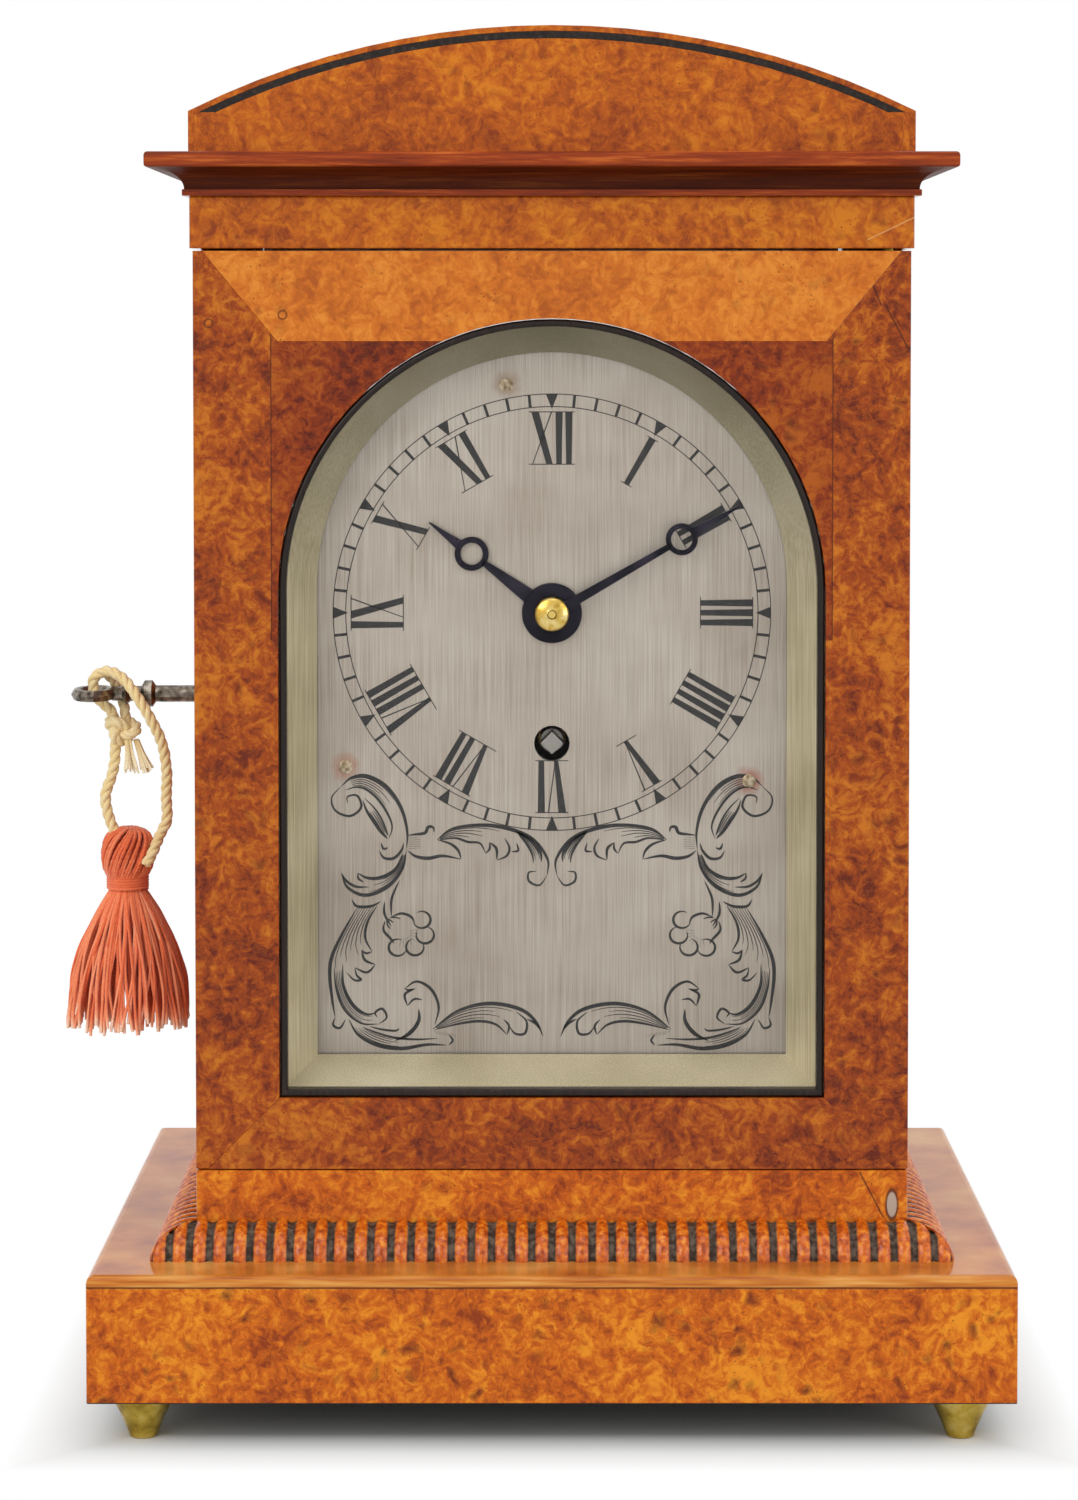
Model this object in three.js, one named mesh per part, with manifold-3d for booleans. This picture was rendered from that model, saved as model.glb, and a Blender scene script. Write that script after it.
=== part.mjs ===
// A small bracket clock in a burr-veneered case, with a single-fusee timepiece movement.
// Millimetres, +Z up, front towards -Y. The origin is on the floor, midway between the four feet.
import * as THREE from 'three';
import { mergeVertices } from 'three/addons/utils/BufferGeometryUtils.js';
import Module from 'manifold-3d';

const wasm = await Module();
wasm.setup();

// ---------------------------------------------------------------- driving dimensions

// case
const FOOT = { x: 82.3, y: 57, height: 9.6, toe: 2.9, ankle: 5.75, top: 7.25 };
const PLINTH = { x: 92.5, y: 68, bottom: 9.6, top: 35.2, arris: 1.5 };
const GADROON = { projection: 8.8, height: 6.8, pitch: 4, groove: 0.9, grooveShare: 0.4 };
const CASE = { x: 72.4, front: -48.4, back: 48.4, wall: 7, sidesFront: -32.4 };
const BASE_RAIL = { bottom: 35.2, top: 51.9, wall: 9 };
const SIDES = { bottom: 51.9, top: 239.2 };
const FRIEZE = { proud: 0.6, bottom: 239.2, top: 249.7 };
const CORNICE = { bottom: 249.7, top: 258.3, projection: 8.8, fillet: 1.8, lip: 3.1, steps: 6 };
const PEDIMENT = { x: 73.2, bottom: 258.3, shoulder: 266.8, apex: 284, steps: 20 };
const STRINGING = { inset: 1.2, width: 1.4, depth: 1, fit: 0.03 };

// front door, hung on knife hinges at its right
const DOOR = { x: 72.4, bottom: 52.2, top: 238.7, front: -48.4, back: -32.9 };
const APERTURE = { half: 55.4, bottom: 66.7, spring: 169.7, steps: 22 };
const HEAD_RAIL = { bottom: 220.5, mitreX: 70.5 };
const BEAD = { width: 1.5, front: -48, back: -44.6 };
const GLASS = { front: -44.5, back: -42.5 };
const SLIP = { sight: 48.5, back: -33.2, sheet: 0.9, rise: 0.87 };
const DOOR_PIVOT = { x: 68.4, y: -40.4, pin: 1.1, hole: 1.4, leaf: 1.2, length: 12, width: 7, beyond: 3.4 };

// lock on the inner face of the left side, and its key
const KEY = { y: -24, z: 146.8, shank: 1.75, bowEnd: -100.5, bowHalf: 4.75, bowHalfWidth: 7.5, wire: 1.3 };
const LOCK = { front: -32, back: -10, halfHeight: 13, depth: 6.5, sheet: 1.3 };
const BOLT = { bottom: 152.4, height: 5, thickness: 2.8, length: 18 };
const STRIKE = { thickness: 1.2, width: 8.5, halfHeight: 10, mortise: 6 };

// back door, hung on two pins inside the sides
const BACK_DOOR = { x: 65, front: 40.4, back: 48.4, bottom: 52.3, top: 238.8, rail: 12, glass: 2 };
const BACK_PIN = { radius: 1.2, hole: 1.5, flange: 3, reach: 4 };
const BACK_KNOB = { ball: 4.2, shaft: 1.5 };
const TONGUE = { front: 36.2, back: 38.8, length: 10.2, half: 2 };

// dial and hands
const DIAL = { half: 52, bottom: 69, front: -32.2, thickness: 1.5, centreZ: 164.4, hole: 4 };
const WINDING = { z: 137.3, hole: 3.7, square: 3.3 };
const DIAL_FEET = [[-9.4, 211.5], [-42.7, 132.4], [40.8, 129.5]];
const HOUR_HAND = { length: 31.5, ring: 20.6, outer: 3.5, inner: 2.4, boss: 6.2, angle: 306.5 };
const MINUTE_HAND = { length: 44.9, ring: 30.8, outer: 3.3, inner: 2.2, boss: 3.4, angle: 60 };
const COLLET = { outer: 3.5, bore: 0.95, rise: 1.1 };

// movement
const PLATES = { half: 51, bottom: 94, shoulder: 196, top: 216, front: -22.5, thickness: 2.5 };
const PILLARS = [[-46, 98.5], [46, 98.5], [-44, 188], [44, 188]];
const SEATBOARD = { front: -20, back: 18, bottom: 88, cleat: 6, cleatBottom: 80 };
const BETWEEN = { front: -20, back: 16 };
const PIVOT = { radius: 0.6, hole: 0.9 };
const GREAT = { teeth: 72, module: 0.695 };
const CENTRE = { teeth: 72, module: 0.45, leaves: 6 };
const THIRD = { teeth: 60, module: 0.42, leaves: 6, x: 7.05 };
const ESCAPE = { teeth: 40, tip: 10.5, root: 8.9, leaves: 6 };
const MOTION = { cannon: 12, minute: 36, minutePinion: 12, hour: 48, module: 0.625, x: -13 };
const FUSEE = { small: 10.5, large: 19, front: -12, back: 9.6, turns: 7, groove: 0.9 };
const BARREL = { x: -35, z: 115, radius: 14.5, front: -16, back: 12 };
const LINE = { radius: 0.45, clear: 0.6, turns: 4, pitch: 1.9, start: 0, perTurn: 12, sides: 4 };
const LINE_END = { y: 8.2, reach: 18.8, steps: 8, perTurn: 16 };
const ANCHOR = { above: 15, clear: 0.9, spread: 48, front: -5, back: -1.9, crutch: 38 };
const COCK = { half: 15, foot: 5, bridge: 1.6, stand: 4.4, slit: 0.9 };
const PENDULUM = { length: 139.8, bob: 17, thickness: 8, rod: 1.1, springEnd: -14, top: 5 };
const RATING_NUT = { radius: 4.2, height: 3.4, below: 0.6 };

// where each wheel and pinion stands along its arbor
const STATION = {
  greatWheel: [10.4, 13],
  centreWheel: [-16.4, -14.8],
  centrePinion: [9, 14.4],
  thirdWheel: [4, 5.4],
  thirdPinion: [-18, -13.2],
  escapeWheel: [-4, -2.9],
  escapePinion: [2.6, 6.8],
  cannonPinion: [-26.6, -23.2],
  minuteWheel: [-26, -23.9],
  minutePinion: [-29.8, -25.8],
  hourWheel: [-29.1, -27.4],
};

// key cord and tassel
const CORD_RADIUS = 1.15;
const KNOT = { x: -89.2, z: 138.8, half: [3.7, 3.2, 3.1] };
const CUT_ENDS = { x: -86.6, z: 133.4, top: 1.7, bottom: 2.2, length: 8, lean: 0.35 };
const TASSEL = {
  x: -88.9,
  bottom: 75,
  skirt: 13.5,
  neckBottom: 105.6,
  neckTop: 109.6,
  neck: 4.25,
  head: 5.35,
  top: 117.6,
};
const LEFT_ROUTE = [
  [-91.9, -24, 118.6],
  [-92.8, -24, 121],
  [-93.5, -24, 125.3],
  [-92.2, -24, 129.4],
  [-91.5, -24, 132.6],
  [-91.4, -24, 134.9],
];
const RIGHT_ROUTE = [
  [-92.4, -24, 143.4],
  [-94.6, -24, 145.4],
  [-95.8, -24, 147.6],
  [-95.6, -24.3, 150.2],
  [-92.8, -25, 151.6],
  [-89.4, -26.6, 150.2],
  [-86.4, -28.4, 146.8],
  [-83.6, -28.7, 142.2],
  [-81.3, -27.6, 137],
  [-80.4, -26.4, 131],
  [-80.6, -25.4, 125],
  [-80.5, -25, 120.6],
  [-82, -24.8, 117.2],
];

// ---------------------------------------------------------------- helpers

const tau = Math.PI * 2;
const point = (x, y) => new THREE.Vector2(x, y);

// Keep only positions, share equal vertices, drop empty triangles and face outwards.
function tidy(geometry) {
  const bare = new THREE.BufferGeometry();
  bare.setAttribute('position', geometry.attributes.position.clone());
  if (geometry.index) {
    bare.setIndex(Array.from(geometry.index.array));
  }
  const merged = mergeVertices(bare, 1e-4);
  const position = merged.attributes.position;
  const old = merged.index.array;
  const index = [];
  let volume = 0;
  const [a, b, c] = [new THREE.Vector3(), new THREE.Vector3(), new THREE.Vector3()];
  for (let i = 0; i < old.length; i += 3) {
    const [p, q, r] = [old[i], old[i + 1], old[i + 2]];
    if (p === q || q === r || r === p) {
      continue;
    }
    index.push(p, q, r);
    a.fromBufferAttribute(position, p);
    b.fromBufferAttribute(position, q);
    c.fromBufferAttribute(position, r);
    volume += a.dot(b.cross(c));
  }
  if (volume < 0) {
    index.reverse();
  }
  merged.setIndex(index);
  return merged;
}

function toSolid(geometry) {
  const clean = tidy(geometry);
  const vertProperties = new Float32Array(clean.attributes.position.array);
  const triVerts = new Uint32Array(clean.index.array);
  return new wasm.Manifold(new wasm.Mesh({ numProp: 3, vertProperties, triVerts }));
}

function fromSolid(solid) {
  const mesh = solid.getMesh();
  const geometry = new THREE.BufferGeometry();
  const position = new THREE.BufferAttribute(new Float32Array(mesh.vertProperties), 3);
  geometry.setAttribute('position', position);
  geometry.setIndex(Array.from(mesh.triVerts));
  return geometry;
}

function join(...geometries) {
  return fromSolid(geometries.map(toSolid).reduce((whole, piece) => whole.add(piece)));
}

function cut(geometry, ...tools) {
  return fromSolid(tools.map(toSolid).reduce((rest, tool) => rest.subtract(tool), toSolid(geometry)));
}

function block([x0, x1], [y0, y1], [z0, z1]) {
  const box = new THREE.BoxGeometry(x1 - x0, y1 - y0, z1 - z0);
  return box.translate((x0 + x1) / 2, (y0 + y1) / 2, (z0 + z1) / 2);
}

// A drawing in the X-Z plane, made solid from y0 to y1.
function alongY(shape, y0, y1, curveSegments = 12) {
  const options = { depth: y1 - y0, bevelEnabled: false, curveSegments };
  return new THREE.ExtrudeGeometry(shape, options).rotateX(Math.PI / 2).translate(0, y1, 0);
}

// A drawing in the Y-Z plane, made solid from x0 to x1.
function alongX(shape, x0, x1, curveSegments = 12) {
  const options = { depth: x1 - x0, bevelEnabled: false, curveSegments };
  const turn = new THREE.Matrix4().set(0, 0, 1, x0, 1, 0, 0, 0, 0, 1, 0, 0, 0, 0, 0, 1);
  return new THREE.ExtrudeGeometry(shape, options).applyMatrix4(turn);
}

// A drawing in the X-Y plane, made solid from z0 to z1.
function alongZ(shape, z0, z1, curveSegments = 12) {
  const options = { depth: z1 - z0, bevelEnabled: false, curveSegments };
  return new THREE.ExtrudeGeometry(shape, options).translate(0, 0, z0);
}

function polygon(points) {
  return new THREE.Shape(points.map(([x, y]) => point(x, y)));
}

function disc(radius, x = 0, y = 0) {
  const shape = new THREE.Shape();
  shape.absarc(x, y, radius, 0, tau, false);
  return shape;
}

// Turned work about the Y axis: [radius, y] pairs, from the axis and back to it.
function turnedY(profile, sides = 16) {
  return new THREE.LatheGeometry(profile.map(([r, y]) => point(r, y)), sides);
}

function turnedZ(profile, sides = 16) {
  return turnedY(profile, sides).rotateX(Math.PI / 2);
}

function turnedX(profile, sides = 16) {
  return turnedY(profile, sides).rotateZ(-Math.PI / 2);
}

function rodY(radius, y0, y1, sides = 10) {
  return turnedY([[0, y0], [radius, y0], [radius, y1], [0, y1]], sides);
}

function rodZ(radius, z0, z1, sides = 10) {
  return new THREE.CylinderGeometry(radius, radius, z1 - z0, sides).rotateX(Math.PI / 2)
    .translate(0, 0, (z0 + z1) / 2);
}

// Rings of equally many points joined by a skin; the ends are closed, or the last meets the first.
function loft(rings, endless = false) {
  const count = rings[0].length;
  const vertices = rings.flat(2);
  const index = [];
  const spans = endless ? rings.length : rings.length - 1;
  for (let ring = 0; ring < spans; ring += 1) {
    const next = (ring + 1) % rings.length;
    for (let i = 0; i < count; i += 1) {
      const j = (i + 1) % count;
      const [a, b] = [ring * count + i, ring * count + j];
      const [c, d] = [next * count + j, next * count + i];
      index.push(a, b, c, a, c, d);
    }
  }
  if (!endless) {
    const last = (rings.length - 1) * count;
    for (let i = 1; i < count - 1; i += 1) {
      index.push(0, i + 1, i, last, last + i, last + i + 1);
    }
  }
  const geometry = new THREE.BufferGeometry();
  geometry.setAttribute('position', new THREE.Float32BufferAttribute(vertices, 3));
  geometry.setIndex(index);
  return tidy(geometry);
}

function rectangleRing(x, y, z) {
  return [[-x, -y, z], [x, -y, z], [x, y, z], [-x, y, z]];
}

// ---------------------------------------------------------------- materials

function finish(color, roughness, metalness = 0, opacity = 1) {
  return { color, roughness, metalness, opacity, transparent: opacity < 1 };
}

const burr = finish(0xb8611f, 0.22);
const straightVeneer = finish(0x7f3616, 0.25);
const ebony = finish(0x1c1412, 0.35);
const oak = finish(0x8a5a30, 0.6);
const brass = finish(0xbf9f52, 0.3, 1);
const silvered = finish(0xbdb8ab, 0.4, 0.8);
const bluedSteel = finish(0x28262e, 0.35, 0.8);
const steel = finish(0x77726a, 0.35, 1);
const glass = finish(0xdfe8e6, 0.05, 0, 0.2);
const cordSilk = finish(0xe8d0a0, 0.9);
const tasselSilk = finish(0xd8643c, 0.9);
const gut = finish(0xc9b27a, 0.6);

function piece(name, geometry, material) {
  const mesh = new THREE.Mesh(tidy(geometry), new THREE.MeshStandardMaterial(material));
  mesh.name = name;
  return mesh;
}

function at(mesh, x, y, z) {
  mesh.position.set(x, y, z);
  return mesh;
}

function assembly(...children) {
  const group = new THREE.Group();
  group.add(...children);
  return group;
}

// ---------------------------------------------------------------- case

function footGeometry() {
  const knee = FOOT.height * 0.64;
  const profile = [[0, 0], [FOOT.toe, 0], [FOOT.ankle, knee], [FOOT.top, FOOT.height], [0, FOOT.height]];
  return turnedZ(profile, 16);
}

function feet() {
  const places = [['front_left', -1, -1], ['front_right', 1, -1], ['back_left', -1, 1], ['back_right', 1, 1]];
  return places.map(([place, sideX, sideY]) =>
    at(piece(`foot_${place}`, footGeometry(), brass), sideX * FOOT.x, sideY * FOOT.y, 0));
}

function plinthGeometry() {
  const rings = [rectangleRing(PLINTH.x, PLINTH.y, PLINTH.bottom)];
  for (let step = 0; step <= 3; step += 1) {
    const angle = (step / 3) * (Math.PI / 2);
    const inset = PLINTH.arris * (1 - Math.cos(angle));
    const z = PLINTH.top - PLINTH.arris * (1 - Math.sin(angle));
    rings.push(rectangleRing(PLINTH.x - inset, PLINTH.y - inset, z));
  }
  return loft(rings);
}

// One length of gadroon moulding: rounded ribs across a quarter-round, mitred at both ends.
function gadroonGeometry(innerHalf) {
  const outerHalf = innerHalf + GADROON.projection;
  const ribs = 2 * Math.round(outerHalf / GADROON.pitch) + 1;
  const pitch = (2 * outerHalf) / ribs;
  const rows = 2;
  const section = (x, depth) => {
    const ring = [[x, 0, 0]];
    for (let row = 0; row <= rows; row += 1) {
      const angle = (row / rows) * (Math.PI / 2);
      const share = 1 - depth / GADROON.projection;
      const out = GADROON.projection * share * Math.cos(angle);
      ring.push([x, -out, GADROON.height * share * Math.sin(angle)]);
    }
    return ring;
  };
  const rings = [];
  for (let rib = 0; rib < ribs; rib += 1) {
    const start = -outerHalf + rib * pitch;
    rings.push(section(start, GADROON.groove));
    rings.push(section(start + pitch * GADROON.grooveShare, 0.12));
    rings.push(section(start + pitch * (1 - GADROON.grooveShare), 0.12));
  }
  rings.push(section(outerHalf, GADROON.groove));
  const run = loft(rings);
  const waste = 40;
  const mitre = (side) => alongZ(polygon([
    [side * innerHalf, 0],
    [side * (innerHalf + waste), -waste],
    [side * (innerHalf + waste), waste],
    [side * innerHalf, waste],
  ]), -1, GADROON.height + 1);
  return cut(run, mitre(-1), mitre(1));
}

function gadroons() {
  const sides = [
    ['front', CASE.x, 0, CASE.front, 0],
    ['right', CASE.back, CASE.x, 0, Math.PI / 2],
    ['back', CASE.x, 0, CASE.back, Math.PI],
    ['left', CASE.back, -CASE.x, 0, -Math.PI / 2],
  ];
  return sides.map(([side, innerHalf, x, y, turn]) => {
    const mesh = at(piece(`gadroon_${side}`, gadroonGeometry(innerHalf), burr), x, y, PLINTH.top);
    mesh.rotation.z = turn;
    return mesh;
  });
}

// A rectangular pocket that takes a knife-hinge leaf, from z0 to z1.
function leafPocket(fit, z0, z1) {
  const { x, y, length, width, beyond } = DOOR_PIVOT;
  const right = x + beyond;
  const half = width / 2 + fit;
  return block([right - length - fit, right + fit], [y - half, y + half], [z0, z1]);
}

const backPin = point(
  BACK_DOOR.x - (BACK_DOOR.back - BACK_DOOR.front) / 2,
  (BACK_DOOR.front + BACK_DOOR.back) / 2,
);
const knobPlace = point(BACK_DOOR.rail / 2 - BACK_DOOR.x, BACK_DOOR.bottom + BACK_DOOR.rail / 2);

function flangePocket(z0, z1) {
  return rodZ(BACK_PIN.flange + 0.1, z0, z1, 20).translate(backPin.x, backPin.y, 0);
}

function baseRailGeometry() {
  const outer = block([-CASE.x, CASE.x], [CASE.front, CASE.back], [BASE_RAIL.bottom, BASE_RAIL.top]);
  const innerX = CASE.x - BASE_RAIL.wall;
  const innerY = [CASE.front + BASE_RAIL.wall + 7, CASE.back - BASE_RAIL.wall];
  const well = block([-innerX, innerX], innerY, [BASE_RAIL.bottom - 1, BASE_RAIL.top + 1]);
  const { top } = BASE_RAIL;
  return cut(outer, well, leafPocket(0.1, top - DOOR_PIVOT.leaf, top + 1), flangePocket(top - 1, top + 1));
}

function sidePlate(side) {
  const inner = CASE.x - CASE.wall;
  const across = side < 0 ? [-CASE.x, -inner] : [inner, CASE.x];
  return block(across, [CASE.sidesFront, CASE.back], [SIDES.bottom, SIDES.top]);
}

function keyhole() {
  const [from, to] = [-CASE.x - 1, -CASE.x + CASE.wall + 1];
  const round = alongX(disc(KEY.shank + 0.5, KEY.y, KEY.z), from, to, 8);
  const slot = block([from, to], [KEY.y - 1.1, KEY.y + 1.1], [KEY.z - 6, KEY.z]);
  return join(round, slot);
}

function friezeGeometry() {
  const x = CASE.x + FRIEZE.proud;
  const y = [CASE.front - FRIEZE.proud, CASE.back + FRIEZE.proud];
  const slab = block([-x, x], y, [FRIEZE.bottom, FRIEZE.top]);
  const { bottom } = FRIEZE;
  const hinge = leafPocket(0.1, bottom - 1, bottom + DOOR_PIVOT.leaf);
  return cut(slab, hinge, flangePocket(bottom - 1, bottom + 1));
}

// Fillet, cavetto and lip, run round all four sides.
function corniceGeometry() {
  const { bottom, top, projection, fillet, lip, steps } = CORNICE;
  const ring = (out, z) => rectangleRing(CASE.x + out, CASE.back + out, z);
  const filletTop = bottom + 1.3;
  const lipBottom = top - lip;
  const rings = [ring(fillet, bottom), ring(fillet, filletTop)];
  for (let step = 0; step <= steps; step += 1) {
    const angle = (step / steps) * (Math.PI / 2);
    const out = fillet + 0.4 + (projection - fillet - 1.2) * (1 - Math.cos(angle));
    rings.push(ring(out - 0.8, filletTop + (lipBottom - filletTop) * Math.sin(angle)));
  }
  rings.push(ring(projection, lipBottom), ring(projection, top - 0.6), ring(projection - 0.5, top));
  return loft(rings);
}

// The pediment's arched outline, set in by a distance all round.
function archedOutline(inset, steps = PEDIMENT.steps) {
  const x = PEDIMENT.x - inset;
  const apex = PEDIMENT.apex - inset;
  const rise = PEDIMENT.apex - PEDIMENT.shoulder;
  const radius = (PEDIMENT.x ** 2 + rise ** 2) / (2 * rise) - inset;
  const reach = Math.asin(x / radius);
  const points = [];
  for (let step = 0; step <= steps; step += 1) {
    const angle = reach * (1 - (2 * step) / steps);
    points.push([radius * Math.sin(angle), apex - radius * (1 - Math.cos(angle))]);
  }
  return points;
}

// The band between two insets of the arch, as an open arch ending on the bottom edge.
function archedBand(near, far, y0, y1, foot) {
  const outer = archedOutline(near);
  const inner = archedOutline(far).reverse();
  const right = [[PEDIMENT.x - far, foot], [PEDIMENT.x - near, foot]];
  const left = [[-PEDIMENT.x + near, foot], [-PEDIMENT.x + far, foot]];
  return alongY(polygon([...right, ...outer, ...left, ...inner]), y0, y1);
}

function pedimentGeometry() {
  const base = [[-PEDIMENT.x, PEDIMENT.bottom], [PEDIMENT.x, PEDIMENT.bottom]];
  const body = alongY(polygon([...base, ...archedOutline(0)]), CASE.front, CASE.back);
  const { inset, width, depth, fit } = STRINGING;
  const [near, far] = [inset - fit, inset + width + fit];
  const groove = archedBand(near, far, CASE.front - 1, CASE.front + depth + fit, PEDIMENT.bottom - 1);
  return cut(body, groove);
}

function stringingGeometry() {
  const { inset, width, depth } = STRINGING;
  return archedBand(inset, inset + width, CASE.front, CASE.front + depth, PEDIMENT.bottom + 0.05);
}

function caseParts() {
  return assembly(
    ...feet(),
    piece('plinth', plinthGeometry(), burr),
    ...gadroons(),
    piece('base_rail', baseRailGeometry(), burr),
    piece('case_side_left', cut(sidePlate(-1), keyhole()), burr),
    piece('case_side_right', sidePlate(1), burr),
    piece('frieze', friezeGeometry(), burr),
    piece('cornice', corniceGeometry(), straightVeneer),
    piece('pediment', pedimentGeometry(), burr),
    piece('stringing', stringingGeometry(), ebony),
  );
}

// ---------------------------------------------------------------- front door

// Points of the aperture's round head, from one angle to another.
function headArc(radius, from, to, steps = APERTURE.steps) {
  return Array.from({ length: steps + 1 }, (_, i) => {
    const angle = from + ((to - from) * i) / steps;
    return [radius * Math.cos(angle), APERTURE.spring + radius * Math.sin(angle)];
  });
}

const headJoint = Math.asin((HEAD_RAIL.bottom - APERTURE.spring) / APERTURE.half);

function stileGeometry() {
  const inner = APERTURE.half;
  const mitre = inner + APERTURE.bottom - DOOR.bottom;
  return alongY(polygon([
    [DOOR.x, DOOR.bottom],
    [DOOR.x, DOOR.top],
    [HEAD_RAIL.mitreX, DOOR.top],
    [inner, HEAD_RAIL.bottom],
    ...headArc(inner, headJoint, 0, APERTURE.steps / 2),
    [inner, APERTURE.bottom],
    [mitre, DOOR.bottom],
  ]), DOOR.front, DOOR.back);
}

// Clearance round a hinge pin, from z0 to z1.
function pivotHole(z0, z1) {
  return rodZ(DOOR_PIVOT.hole, z0, z1, 10).translate(DOOR_PIVOT.x, DOOR_PIVOT.y, 0);
}

// The hinge stile has its back corner eased, so that it turns clear of the case side.
function rightStileGeometry() {
  const { leaf } = DOOR_PIVOT;
  const corner = [[DOOR.x - 2, DOOR.back], [DOOR.x + 1, DOOR.back - 1.6], [DOOR.x + 1, DOOR.back + 1]];
  const easing = alongZ(polygon(corner), DOOR.bottom - 1, DOOR.top + 1);
  return cut(
    stileGeometry(),
    easing,
    leafPocket(0.1, DOOR.bottom - 1, DOOR.bottom + leaf),
    leafPocket(0.1, DOOR.top - leaf, DOOR.top + 1),
    pivotHole(DOOR.bottom - 1, DOOR.bottom + 4),
    pivotHole(DOOR.top - 4, DOOR.top + 1),
  );
}

function strikePlace() {
  const x = -CASE.x + CASE.wall + LOCK.sheet / 2 + 2.9;
  return [x - STRIKE.width / 2, x + STRIKE.width / 2];
}

function boltPlace(fit) {
  const right = -CASE.x + CASE.wall + LOCK.depth - LOCK.sheet - 0.1;
  return {
    x: [right - BOLT.thickness - fit, right + fit],
    z: [BOLT.bottom - fit, BOLT.bottom + BOLT.height + fit],
  };
}

function leftStileGeometry() {
  const z = KEY.z + 6;
  const height = [z - STRIKE.halfHeight - 0.1, z + STRIKE.halfHeight + 0.1];
  const [x0, x1] = strikePlace();
  const seat = block([x0 - 0.1, x1 + 0.1], [DOOR.back - STRIKE.thickness, DOOR.back + 1], height);
  const slot = boltPlace(0.5);
  const mortise = block(slot.x, [DOOR.back - STRIKE.mortise, DOOR.back], slot.z);
  const mirrored = stileGeometry().scale(-1, 1, 1);
  return cut(mirrored, seat, mortise);
}

function strikeGeometry() {
  const z = KEY.z + 6;
  const height = [z - STRIKE.halfHeight, z + STRIKE.halfHeight];
  const plate = block(strikePlace(), [DOOR.back - STRIKE.thickness, DOOR.back], height);
  const slot = boltPlace(0.5);
  return cut(plate, block(slot.x, [DOOR.back - 3, DOOR.back + 1], slot.z));
}

function bottomRailGeometry() {
  const mitre = APERTURE.half + APERTURE.bottom - DOOR.bottom;
  const rail = alongY(polygon([
    [-mitre, DOOR.bottom],
    [mitre, DOOR.bottom],
    [APERTURE.half, APERTURE.bottom],
    [-APERTURE.half, APERTURE.bottom],
  ]), DOOR.front, DOOR.back);
  const { bottom } = DOOR;
  const hinge = leafPocket(0.1, bottom - 1, bottom + DOOR_PIVOT.leaf);
  return cut(rail, hinge, pivotHole(bottom - 1, bottom + 4));
}

function headRailGeometry() {
  const rail = alongY(polygon([
    [-HEAD_RAIL.mitreX, DOOR.top],
    [-APERTURE.half, HEAD_RAIL.bottom],
    ...headArc(APERTURE.half, Math.PI - headJoint, headJoint, 12),
    [APERTURE.half, HEAD_RAIL.bottom],
    [HEAD_RAIL.mitreX, DOOR.top],
  ]), DOOR.front, DOOR.back);
  const { top } = DOOR;
  const hinge = leafPocket(0.1, top - DOOR_PIVOT.leaf, top + 1);
  return cut(rail, hinge, pivotHole(top - 4, top + 1));
}

// Ring that follows the aperture: section corners are [half width, y] pairs.
function apertureRing(section, rise = 1) {
  const ring = ([half, y]) => {
    const bottom = APERTURE.bottom + (APERTURE.half - half) * rise;
    const arc = headArc(half, 0, Math.PI);
    return [[-half, y, bottom], [half, y, bottom], ...arc.map(([x, z]) => [x, y, z])];
  };
  return loft(section.map(ring), true);
}

function beadGeometry() {
  const outer = APERTURE.half - 0.12;
  const inner = outer - BEAD.width;
  const { front, back } = BEAD;
  const round = (inner + outer) / 2;
  const edge = front + 0.7;
  return apertureRing([[outer, back], [outer, edge], [round, front], [inner, edge], [inner, back]]);
}

function glassGeometry() {
  const half = APERTURE.half - 0.25;
  const bottom = APERTURE.bottom + 0.25;
  const outline = [[-half, bottom], [half, bottom], ...headArc(half, 0, Math.PI)];
  return alongY(polygon(outline), GLASS.front, GLASS.back);
}

function slipGeometry() {
  const front = GLASS.back + 0.1;
  const outer = APERTURE.half - 0.2;
  const { sight, back, sheet, rise } = SLIP;
  const section = [
    [outer, front],
    [outer - 1.2, front],
    [sight, back],
    [sight + sheet * 1.4, back],
    [outer, front + sheet],
  ];
  return apertureRing(section, rise);
}

function hingeCaseLeaf(z0, z1, pinTo) {
  const { x, y, pin } = DOOR_PIVOT;
  const post = rodZ(pin, Math.min(z0 + 0.2, pinTo), Math.max(z1 - 0.2, pinTo), 14).translate(x, y, 0);
  return join(leafPocket(0, z0, z1), post);
}

function hingeDoorLeaf(z0, z1) {
  const { x, y, hole } = DOOR_PIVOT;
  return cut(leafPocket(0, z0, z1), rodZ(hole, z0 - 1, z1 + 1, 16).translate(x, y, 0));
}

function doorParts() {
  const { leaf } = DOOR_PIVOT;
  return assembly(
    piece('door_stile_left', leftStileGeometry(), burr),
    piece('door_stile_right', rightStileGeometry(), burr),
    piece('door_head_rail', headRailGeometry(), burr),
    piece('door_bottom_rail', bottomRailGeometry(), burr),
    piece('door_glass', glassGeometry(), glass),
    piece('glass_bead', beadGeometry(), ebony),
    piece('dial_slip', slipGeometry(), silvered),
    piece('strike_plate', strikeGeometry(), brass),
    piece('hinge_leaf_door_bottom', hingeDoorLeaf(DOOR.bottom, DOOR.bottom + leaf - 0.05), brass),
    piece('hinge_leaf_door_top', hingeDoorLeaf(DOOR.top - leaf + 0.05, DOOR.top), brass),
  );
}

function doorHingesOnCase() {
  const { leaf } = DOOR_PIVOT;
  const { top } = BASE_RAIL;
  const { bottom } = FRIEZE;
  return assembly(
    piece('hinge_leaf_case_bottom', hingeCaseLeaf(top - leaf + 0.05, top, DOOR.bottom + 3.6), brass),
    piece('hinge_leaf_case_top', hingeCaseLeaf(bottom, bottom + leaf - 0.05, DOOR.top - 3.6), brass),
  );
}

// ---------------------------------------------------------------- back door

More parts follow.
